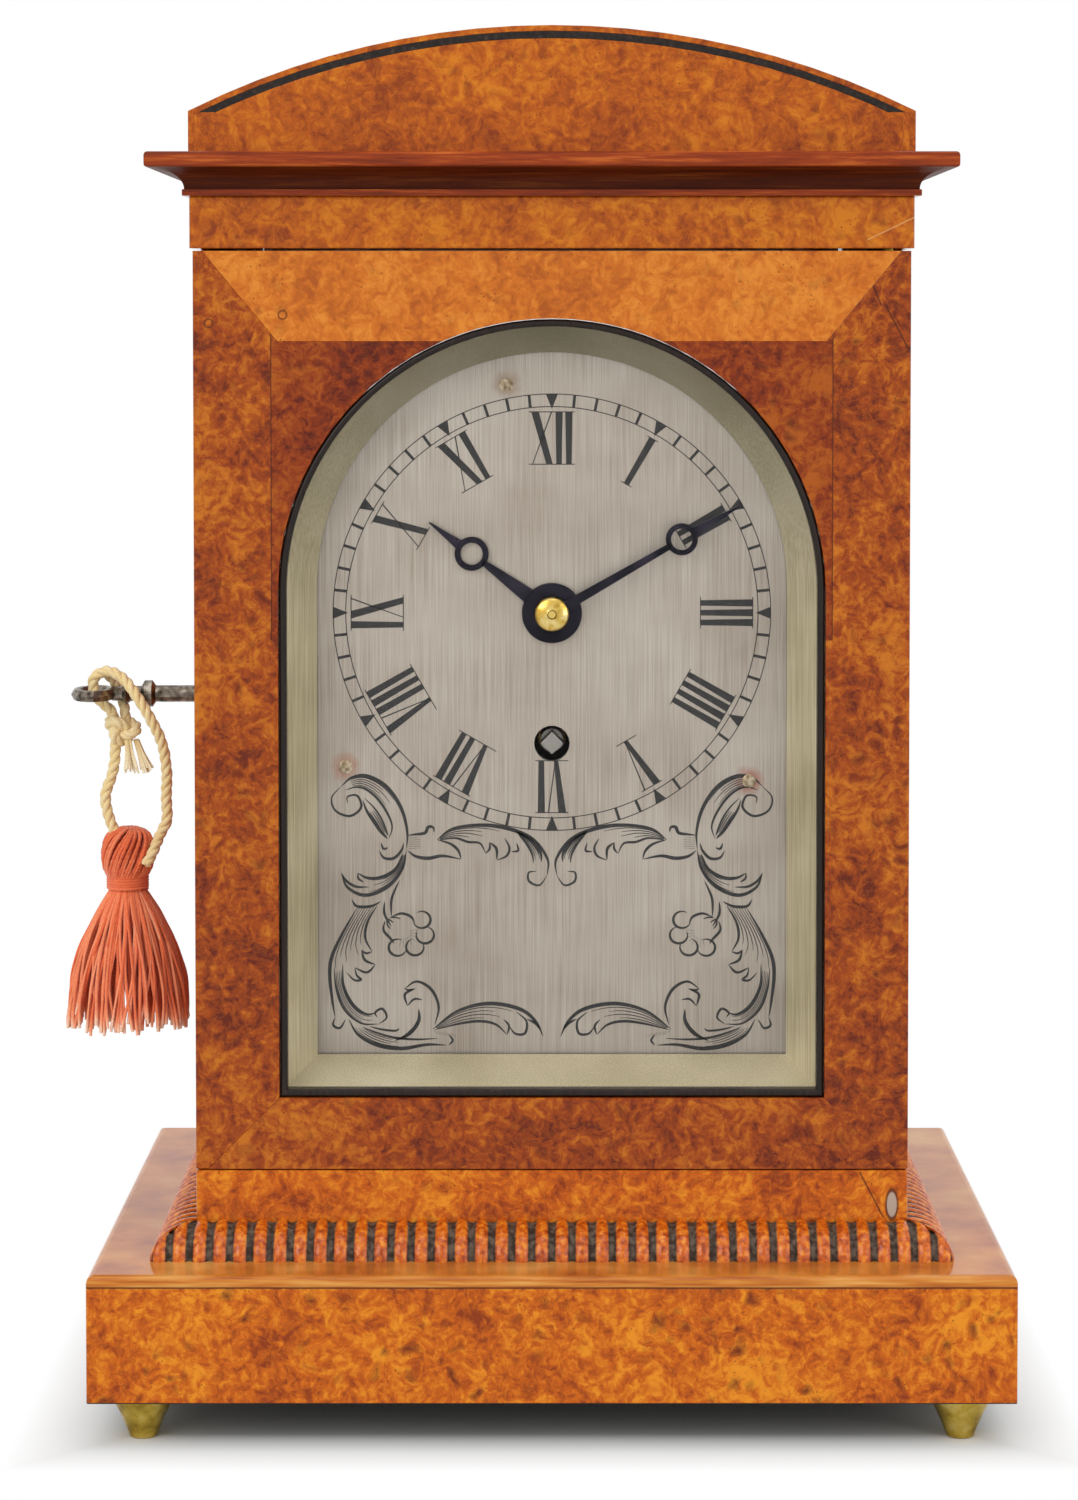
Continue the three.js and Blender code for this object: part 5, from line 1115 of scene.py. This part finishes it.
# %% Bud and branch
swept(0.55, (-29.9, 118.2), (-28.0, 118.4), (-26.3, 118.7), (-25.6, 119.9), (-24.6, 119.8), (-24.4, 118.8))
swept(0.6, (-29.9, 115.0), (-28.2, 113.8), (-25.6, 113.4), (-22.6, 113.9), (-18.8, 113.2))
swept(0.45, (-18.8, 113.2), (-19.4, 115.0), (-21.0, 116.4), (-23.8, 117.3))
for spread in range(7):
    both([(-29.7, 117.9 - 0.42 * spread), (-27.4 + 0.25 * (spread % 2), 117.6 - 0.34 * spread)], 0.26)
branch = swept(0.66, (-23.8, 117.3), (-20.4, 119.6), (-14.2, 120.3), (-8.4, 119.4), (-3.8, 117.2),
               (-0.9, 113.2), (-1.0, 109.8))
under = swept(0.4, (-23.4, 117.2), (-20.0, 117.6), (-17.4, 116.8), (-14.9, 116.5), (-13.7, 114.4))
shaded(branch, under, 4, 0.03, 0.5)
swept(0.36, (-13.7, 114.4), (-12.9, 115.4), (-12.9, 116.7))
swept(0.46, (-12.9, 116.7), (-11.5, 115.4), (-11.4, 113.0))
swept(0.4, (-11.4, 113.0), (-9.4, 113.9), (-8.8, 115.6), (-9.8, 117.6))
swept(0.36, (-8.4, 114.8), (-7.0, 115.0), (-7.3, 116.6))
shade_far = swept(0.34, (-7.0, 118.4), (-5.3, 116.4), (-4.1, 114.2), (-3.8, 112.4))
shade_near = swept(0.5, (-7.6, 119.2), (-4.4, 117.2), (-2.4, 114.6), (-2.2, 112.6))
shaded(shade_near, shade_far, 3, 0.0, 0.9, 0.16)
swept(0.36, (-1.0, 109.8), (-2.6, 107.8), (-4.7, 108.6), (-4.8, 110.4), (-3.2, 110.7))
print("engraved patches", len(engraving.form.faces))

# %% [markdown]
# The side scroll runs down the edge of the dial, with three lobes on its inner edge and a curling stem.

# %% Side scroll
side = swept(0.62, (-40.3, 103.2), (-43.4, 97.8), (-45.6, 93.0), (-46.1, 89.2), (-45.6, 84.0), (-45.0, 80.2))
swept(0.4, (-45.0, 80.2), (-45.4, 78.6), (-44.0, 78.0), (-42.8, 79.8))
side_in = swept(0.44, (-36.2, 103.6), (-38.2, 100.2), (-38.7, 96.8), (-37.3, 93.9))
shaded(side[:26], side_in, 6, 0.02, 0.95)
swept(0.36, (-37.3, 93.9), (-38.6, 93.6), (-39.5, 94.3))
swept(0.44, (-39.5, 94.3), (-38.8, 92.2), (-36.6, 91.2))
swept(0.4, (-36.6, 91.2), (-38.4, 89.6), (-40.9, 90.6))
swept(0.4, (-40.9, 90.6), (-40.5, 89.0), (-39.6, 88.1), (-41.0, 88.0), (-42.6, 89.6))
stem = swept(0.5, (-43.4, 91.4), (-43.2, 86.8), (-41.3, 82.9), (-38.6, 80.9), (-36.3, 81.2))
stem_low = swept(0.4, (-45.2, 90.6), (-44.7, 86.0), (-43.0, 81.8), (-39.6, 79.0), (-35.9, 78.8))
shaded(stem, stem_low, 4, 0.05, 0.95)
swept(0.4, (-35.9, 78.8), (-34.3, 80.2), (-35.2, 82.0), (-36.7, 81.2), (-36.2, 80.2))
print("engraved patches", len(engraving.form.faces))

# %% [markdown]
# At the bottom lie a low sweep, an upright leaf, and a long leaf that reaches the middle.

# %% Bottom scroll
low_sweep = swept(0.66, (-42.2, 79.8), (-40.2, 76.6), (-36.2, 74.4), (-31.2, 73.7), (-26.0, 74.5),
                  (-21.8, 74.4))
low_over = swept(0.4, (-39.4, 78.2), (-36.4, 77.0), (-32.9, 76.0), (-28.4, 75.6), (-23.6, 75.8))
shaded(low_sweep, low_over, 4, 0.1, 0.6)
swept(0.36, (-37.8, 78.3), (-35.4, 77.7), (-32.6, 77.4), (-31.6, 77.9))
swept(0.66, (-32.6, 75.3), (-29.6, 76.8), (-27.7, 79.4), (-27.6, 82.0))
for spread in range(6):
    both([(-32.0 + 0.5 * spread, 75.4 + 0.2 * spread), (-29.8 + 0.4 * spread, 77.2 + 0.4 * spread)], 0.3)
swept(0.5, (-24.3, 78.6), (-23.5, 82.4), (-25.0, 86.0), (-28.0, 87.7), (-30.6, 86.2))
swept(0.36, (-30.6, 86.2), (-29.6, 85.9), (-28.3, 86.2))
swept(0.44, (-28.6, 86.1), (-30.5, 85.0), (-30.0, 82.6))
swept(0.34, (-30.0, 82.6), (-28.6, 84.0), (-26.9, 83.9))
long_top = swept(0.66, (-24.8, 77.7), (-19.6, 81.5), (-13.2, 83.1), (-6.8, 82.0), (-3.4, 79.4), (-1.8, 76.2))
long_low = swept(0.46, (-24.4, 77.6), (-19.2, 78.9), (-14.9, 79.4), (-11.6, 78.7), (-9.3, 76.6))
shaded(long_top, long_low, 4, 0.02, 0.62)
swept(0.36, (-9.3, 76.6), (-8.9, 78.4), (-10.0, 79.8))
swept(0.42, (-8.9, 78.4), (-7.6, 76.8), (-5.6, 76.9), (-5.3, 79.4), (-7.4, 81.4))
swept(0.4, (-5.2, 79.9), (-3.4, 78.9), (-2.2, 77.4))
for spread in range(5):
    both([(-24.6 + 0.9 * spread, 77.4 - 0.1 * spread), (-23.0 + 0.8 * spread, 76.6 - 0.12 * spread)], 0.26)
swept(0.34, (-21.4, 76.6), (-20.6, 75.4), (-21.4, 74.4))
print("engraved patches", len(engraving.form.faces))

# %% [markdown]
# A floret hangs on a stem from the upper leaf: a calyx, four petals as open loops, and stamens.

# %% Floret
swept(0.42, (-31.6, 108.8), (-33.2, 105.0), (-33.3, 101.2))
swept(0.42, (-34.7, 104.4), (-34.7, 101.8), (-33.3, 99.2))
calyx_left = swept(0.44, (-34.6, 100.4), (-34.9, 98.4), (-33.4, 96.6), (-32.7, 95.6))
calyx_right = swept(0.44, (-33.3, 101.2), (-31.2, 101.9), (-29.2, 101.2), (-28.4, 99.8))
shaded(calyx_left, calyx_right, 3, 0.0, 0.5, 0.24)
for x, z, opening in ((-32.0, 94.8, 60), (-28.4, 94.9, 105), (-26.3, 97.4, 150), (-27.0, 100.6, 195)):
    loop = [math.radians(opening + 290 * step / 16) for step in range(17)]
    both([Vector((x + 1.85 * math.cos(turn), z + 1.75 * math.sin(turn))) for turn in loop], 0.42)
for spread in range(8):
    turn = math.radians(-108 + 17 * spread)
    both([(-30.7 + 1.2 * math.cos(turn), 98.0 + 1.2 * math.sin(turn)),
          (-30.7 + 3.0 * math.cos(turn), 98.0 + 3.0 * math.sin(turn))], 0.4 if spread in (3, 4) else 0.26)
make_piece("dial_engraving", engraving.form, wax, "case", (), 80)

# %% [markdown]
# The dial's three feet are riveted from the front, and their flattened ends show as small discs in the
# plate.

# %% Rivet ends
rivet_form = Form()
for x, z, _ in RIVETS:
    head = [(0.0, 0.1), (1.4, 0.1), (1.45, 0.0), (1.3, -0.08), (0.6, -0.14), (0.0, -0.15)]
    rivet_form.turned(head, (x, DIAL_FACE, z), (0, 1, 0), 28)
rivet_metal = aged_metal("rivet_brass", ("#6E5A44", "#9A8A70", "#BAAE98"), 0.4, 0.8)
make_piece("dial_rivets", rivet_form, rivet_metal, "case")

# %% [markdown]
# ## The key cord
# A cream silk cord of three strands hangs from the key's bow and carries the tassel. It was cut about a
# hand's breadth long, tied in one overhand knot, and its loop passes through the bow. It is built as it is
# laid: three strands that wind round the middle line of the route, which repeats the CAD model's route.

# %% Cord
CORD_MM, CORD_TURN_MM, CORD_STEP_MM = 2.3, 6.4, 0.35
LEFT_ROUTE = [
    (-91.9, -24, 118.6),
    (-92.8, -24, 121),
    (-93.5, -24, 125.3),
    (-92.2, -24, 129.4),
    (-91.5, -24, 132.6),
    (-91.4, -24, 134.9),
]
THROUGH_KNOT = [(-91.2, -24, 138.4), (-91.6, -24, 141.4)]
RIGHT_ROUTE = [
    (-92.4, -24, 143.4),
    (-94.6, -24, 145.4),
    (-95.8, -24, 147.6),
    (-95.6, -24.3, 150.2),
    (-92.8, -25, 151.6),
    (-89.4, -26.6, 150.2),
    (-86.4, -28.4, 146.8),
    (-83.6, -28.7, 142.2),
    (-81.3, -27.6, 137),
    (-80.4, -26.4, 131),
    (-80.6, -25.4, 125),
    (-80.5, -25, 120.6),
    (-82, -24.8, 117.2),
]


def even(points, step):
    """The same line with points an even step apart."""
    line = [points[0]]
    left = step
    for start, end in zip(points, points[1:]):
        length = (end - start).length
        while length >= left and length > 0:
            start = start + (end - start) * (left / length)
            line.append(start)
            length = (end - start).length
            left = step
        left -= length
    return line


def lay_strands(form, route, diameter, seed, strands=3, sides=7):
    """Strands laid round a route, each winding once in CORD_TURN_MM; gives back the middle line."""
    chance = random.Random(seed)
    line = even(route, CORD_STEP_MM)
    frames = carried_frames(line)
    step = (line[1] - line[0]).length
    off, thick = diameter * 0.235, diameter * 0.29
    for strand in range(strands):
        points = []
        for number, (share, place, side, up) in enumerate(frames):
            angle = TAU * (number * step / CORD_TURN_MM + strand / strands)
            points.append(place + (side * math.cos(angle) + up * math.sin(angle)) * off)
        base = 0.45 + chance.uniform(-0.12, 0.12)
        form.tube(points, thick, sides, base)
    return line


LEFT_TUCK = [(-91.5, -24.5, 117.4)]
RIGHT_TUCK = [(-83.2, -27.4, 114.0), (-84.6, -28.4, 111.4)]
cord_route = [*LEFT_TUCK, *LEFT_ROUTE, *THROUGH_KNOT, *RIGHT_ROUTE, *RIGHT_TUCK]
cord_form = Form()
cord_line = lay_strands(cord_form, curve_through(cord_route, 12), CORD_MM, 3)
cord = make_piece("key_cord", cord_form, cord_silk, "tassel", ["cord_left", "cord_right"], 80)

# %% [markdown]
# The knot is a trefoil of the same cord pulled tight, with its two cut ends left to fray below it and one
# short strand that climbs behind the key's neck to close the loop.

# %% Knot
KNOT = Vector((-89.9, -24, 139.2))
knot_form = Form()
trefoil = []
for step in range(97):
    t = TAU * step / 96
    x = 1.18 * (math.sin(t) + 2 * math.sin(2 * t))
    z = 0.84 * (math.cos(t) - 2 * math.cos(2 * t))
    trefoil.append(KNOT + Vector((x * 0.9 + z * 0.15, -1.35 * math.sin(3 * t), z * 0.95 - x * 0.2)))
lay_strands(knot_form, trefoil, CORD_MM * 0.98, 5)
climb = [(-89.2, -23.4, 140.4), (-89.6, -22.4, 143.6), (-90.6, -21.3, 146.6), (-92.2, -21.8, 149.6),
         (-93.6, -23.4, 151.2)]
lay_strands(knot_form, curve_through(climb, 12), CORD_MM * 0.95, 6)
fray = random.Random(11)
for end_x, end_y, lean in ((-87.4, -25.2, 0.1), (-85.9, -24.2, 0.34)):
    for fibre in range(22):
        angle, reach = fray.uniform(0, TAU), CORD_MM * 0.42 * math.sqrt(fray.random())
        dx, dy = reach * math.cos(angle), reach * math.sin(angle)
        top = Vector((end_x - 1.2 + dx * 0.6, end_y + dy * 0.6, 137.2))
        length = 6.4 + fray.uniform(-0.7, 0.7)
        middle = top + Vector((lean * 3 + dx * 0.3, dy * 0.3, -length * 0.5))
        tip = top + Vector((lean * 6 + dx * 1.1, dy * 1.1, -length))
        knot_form.tube(curve_through([top, middle, tip], 4), 0.26, 4, lambda share: 0.4 + 0.4 * share)
knot = make_piece("cord_overhand_knot", knot_form, cord_silk, "tassel", ["cord_knot"], 80)

# %% [markdown]
# ## The tassel
# A tassel is a hank of threads doubled over the cord, bound at the neck and cut at the foot. So it is built
# of threads: arcs that run over the head, a binding wound seven times round the neck, and a skirt of some
# hundreds of two-ply threads, which leave the neck together, swell, part and curl at the ends.

# %% Tassel
TASSEL_X, TASSEL_Y = -88.9, -24
NECK_TOP, NECK_BOTTOM, NECK_RADIUS = 109.6, 105.6, 4.1
SKIRT_FOOT, SKIRT_RADIUS = span("tassel")[0].z + 1.2, 13.0
ROOT_RADIUS, FADED_SHARE = NECK_RADIUS - 0.9, 0.86
silk_chance = random.Random(7)
tassel_form = Form()


def ply(radius, length_mm, twist_mm=1.5):
    """The beaded outline that two twisted plies give a thread."""
    return lambda share: radius * (1 + 0.13 * math.sin(TAU * share * length_mm / twist_mm))


def skirt_thread(angle, layer):
    """One thread of the skirt, from the neck to its cut end."""
    foot = SKIRT_FOOT + abs(silk_chance.gauss(0, 1.6)) + layer * 0.5
    reach = (SKIRT_RADIUS - layer * 2.6) * silk_chance.uniform(0.88, 1.0)
    drift = silk_chance.gauss(0, 0.05)
    sway, phase = silk_chance.uniform(0.1, 0.7), silk_chance.uniform(0, TAU)
    points = []
    for step in range(13):
        t = step / 12
        swell = ROOT_RADIUS + (reach - ROOT_RADIUS) * (1 - (1 - t) ** 2.3) * (0.9 + 0.1 * t)
        turn = angle + drift * t * 4 + 0.03 * math.sin(phase + 5 * t)
        out = swell + sway * math.sin(phase + 7 * t) * t
        z = NECK_BOTTOM + 0.6 + (foot - NECK_BOTTOM) * t
        points.append((TASSEL_X + out * math.cos(turn), TASSEL_Y + out * math.sin(turn), z))
    # Painted shade: each inner layer gets a darker tone, as the outer threads shade it.
    tone = 0.5 + silk_chance.gauss(0, 0.09) - 0.13 * layer
    thin = silk_chance.uniform(0.29, 0.42)
    fade = 0.45 / (1 - FADED_SHARE)
    tassel_form.tube(curve_through(points, 2), ply(thin, 30.0), 5,
                     lambda share: tone + fade * max(0.0, share - FADED_SHARE))


for layer, count in ((0, 120), (1, 70), (2, 40), (3, 20)):
    for number in range(count):
        skirt_thread(TAU * (number + silk_chance.uniform(-0.4, 0.4)) / count, layer)

print("tassel faces so far", len(tassel_form.faces))

# %% [markdown]
# The head's threads rise side by side from the neck, swell over the core and close round the cord at the
# crown, with a slight twist. The binding is one thread wound seven times round the neck.

# %% Tassel head and binding
HEAD_PROFILE = [(4.0, 108.6), (4.8, 110.2), (5.2, 112.2), (5.2, 114.2), (4.9, 116.0), (4.0, 117.5),
                (2.2, 118.4), (0.6, 118.6)]
HEAD_THREADS, WRAPS = 46, 7
for number in range(HEAD_THREADS):
    angle = TAU * (number + silk_chance.uniform(-0.3, 0.3)) / HEAD_THREADS
    twist, lift = silk_chance.gauss(0.95, 0.16), silk_chance.gauss(0, 0.14)
    points = []
    for step, (out, z) in enumerate(HEAD_PROFILE):
        share = step / (len(HEAD_PROFILE) - 1)
        turn = angle + twist * share
        out += lift * math.sin(math.pi * share)
        x = TASSEL_X + out * math.cos(turn) + 0.5 * share ** 2
        points.append((x, TASSEL_Y + out * math.sin(turn), z))
    tone = 0.42 + silk_chance.gauss(0, 0.09)
    tassel_form.tube(curve_through(points, 3), ply(0.37, 12.0), 5, tone)
# The core gets a darker tone of the silk: painted shade in the gaps between the head's threads.
core = [(0.1, 104.0), (3.3, 104.4), (3.7, 107.5), (4.4, 110.5), (4.9, 113.2), (4.2, 116.0), (0.1, 117.8)]
tassel_form.turned([(r * 0.97, z) for r, z in core], (TASSEL_X, TASSEL_Y, 0), (0, 0, 1), 20, 0.16)
for wrap in range(WRAPS):
    z = NECK_BOTTOM + (wrap + 0.5) * (NECK_TOP - NECK_BOTTOM) / WRAPS
    ring = []
    for turn in (TAU * k / 28 for k in range(30)):
        x, y = TASSEL_X + NECK_RADIUS * math.cos(turn), TASSEL_Y + NECK_RADIUS * math.sin(turn)
        ring.append((x, y, z + 0.5 * turn / TAU))
    tassel_form.tube(ring, ply(0.36, 26.0), 6, 0.42 + silk_chance.gauss(0, 0.04))
tassel = make_piece("silk_tassel", tassel_form, tassel_silk, "tassel", ["tassel"], 80)

# %% [markdown]
# ## Studio
# The clock stands on a pale sheet of paper, which takes its shadow. Paper close to the clock is lit like
# anything else. Further out it fades to plain white for the camera and for reflections, as an overexposed
# sweep does, so no horizon shows. The world is white in the same way, and dimmer as a light. A large soft
# lamp stands to the left of the camera, a weaker one to its right and one above.

# %% Floor
FLOOR_HALF, FADE_START, FADE_END = 3.0, 6.0, 30.0
SEEN_RAYS = ("Is Camera Ray", "Is Glossy Ray", "Is Transmission Ray")


def seen_directly(node):
    """1 for rays that show a thing to the eye, 0 for those that only carry light."""
    path = node("LightPath").node.outputs
    seen = path[SEEN_RAYS[0]]
    for kind in SEEN_RAYS[1:]:
        seen = node("Math", (seen, path[kind]), operation="MAXIMUM")
    return seen


floor_mesh = bpy.data.meshes.new("paper_floor")
corners = [(x * FLOOR_HALF, y * FLOOR_HALF, 0) for x, y in ((-1, -1), (1, -1), (1, 1), (-1, 1))]
floor_mesh.from_pydata(corners, [], [(0, 1, 2, 3)])
floor = bpy.data.objects.new("paper_floor", floor_mesh)
bpy.context.collection.objects.link(floor)
paper, node, shader = new_material("white_paper", Roughness=0.9, Specular_IOR_Level=0.1)
cloud = node("TexNoise", {"Vector": millimetres(node), "Scale": 1 / 60.0})
connect(shader, {"Base Color": node("ValToRGB", (cloud,), stops=[(0.3, "#D8D8D6"), (0.7, "#DEDEDC")])})
parts = node("SeparateXYZ", (millimetres(node),)).node.outputs
beyond_x, beyond_y = (node("Math", (off_line(node, parts[axis], 0.0), reach), operation="SUBTRACT")
                      for axis, reach in (("X", 78.0), ("Y", 50.0)))
beyond = node("Math", (beyond_x, beyond_y), operation="MAXIMUM")
fade = node("MapRange", (beyond, FADE_START, FADE_END))
choice = node("Math", (seen_directly(node), fade), operation="MULTIPLY")
sheet = node("MixShader", (choice, shader.outputs[0], node("Emission", ("#FFFFFF", 1.0))))
connect(paper.node_tree.nodes["Material Output"], {"Surface": sheet})
floor_mesh.materials.append(paper)
print("paper fades from", FADE_START, "to", FADE_END, "mm beyond the plinth")

# %% World and lamps
WORLD_LIGHT = 0.56
world = bpy.data.worlds.new("studio")
bpy.context.scene.world = world
world.use_nodes = True
node = partial(add, world.node_tree)
strength = node("MapRange", (seen_directly(node), 0.0, 1.0, WORLD_LIGHT, 1.0))
connect(world.node_tree.nodes["Background"], {"Color": "#FFFFFF", "Strength": strength})

LAMPS = [
    ("key_softbox", (-700, -900, 750), 0.8, 6.0),
    ("fill_softbox", (900, -700, 450), 0.8, 3.0),
    ("top_softbox", (100, -100, 1100), 0.9, 3.0),
]
LAMP_AIM = (0, 0, 140)
for name, place, size, watts in LAMPS:
    lamp_data = bpy.data.lights.new(name, "AREA")
    lamp_data.size = size
    lamp_data.energy = watts
    lamp = bpy.data.objects.new(name, lamp_data)
    lamp.location = mm(*place)
    lamp.rotation_euler = (mm(*LAMP_AIM) - lamp.location).to_track_quat("-Z", "Y").to_euler()
    bpy.context.collection.objects.link(lamp)
print("lamps", len(LAMPS))
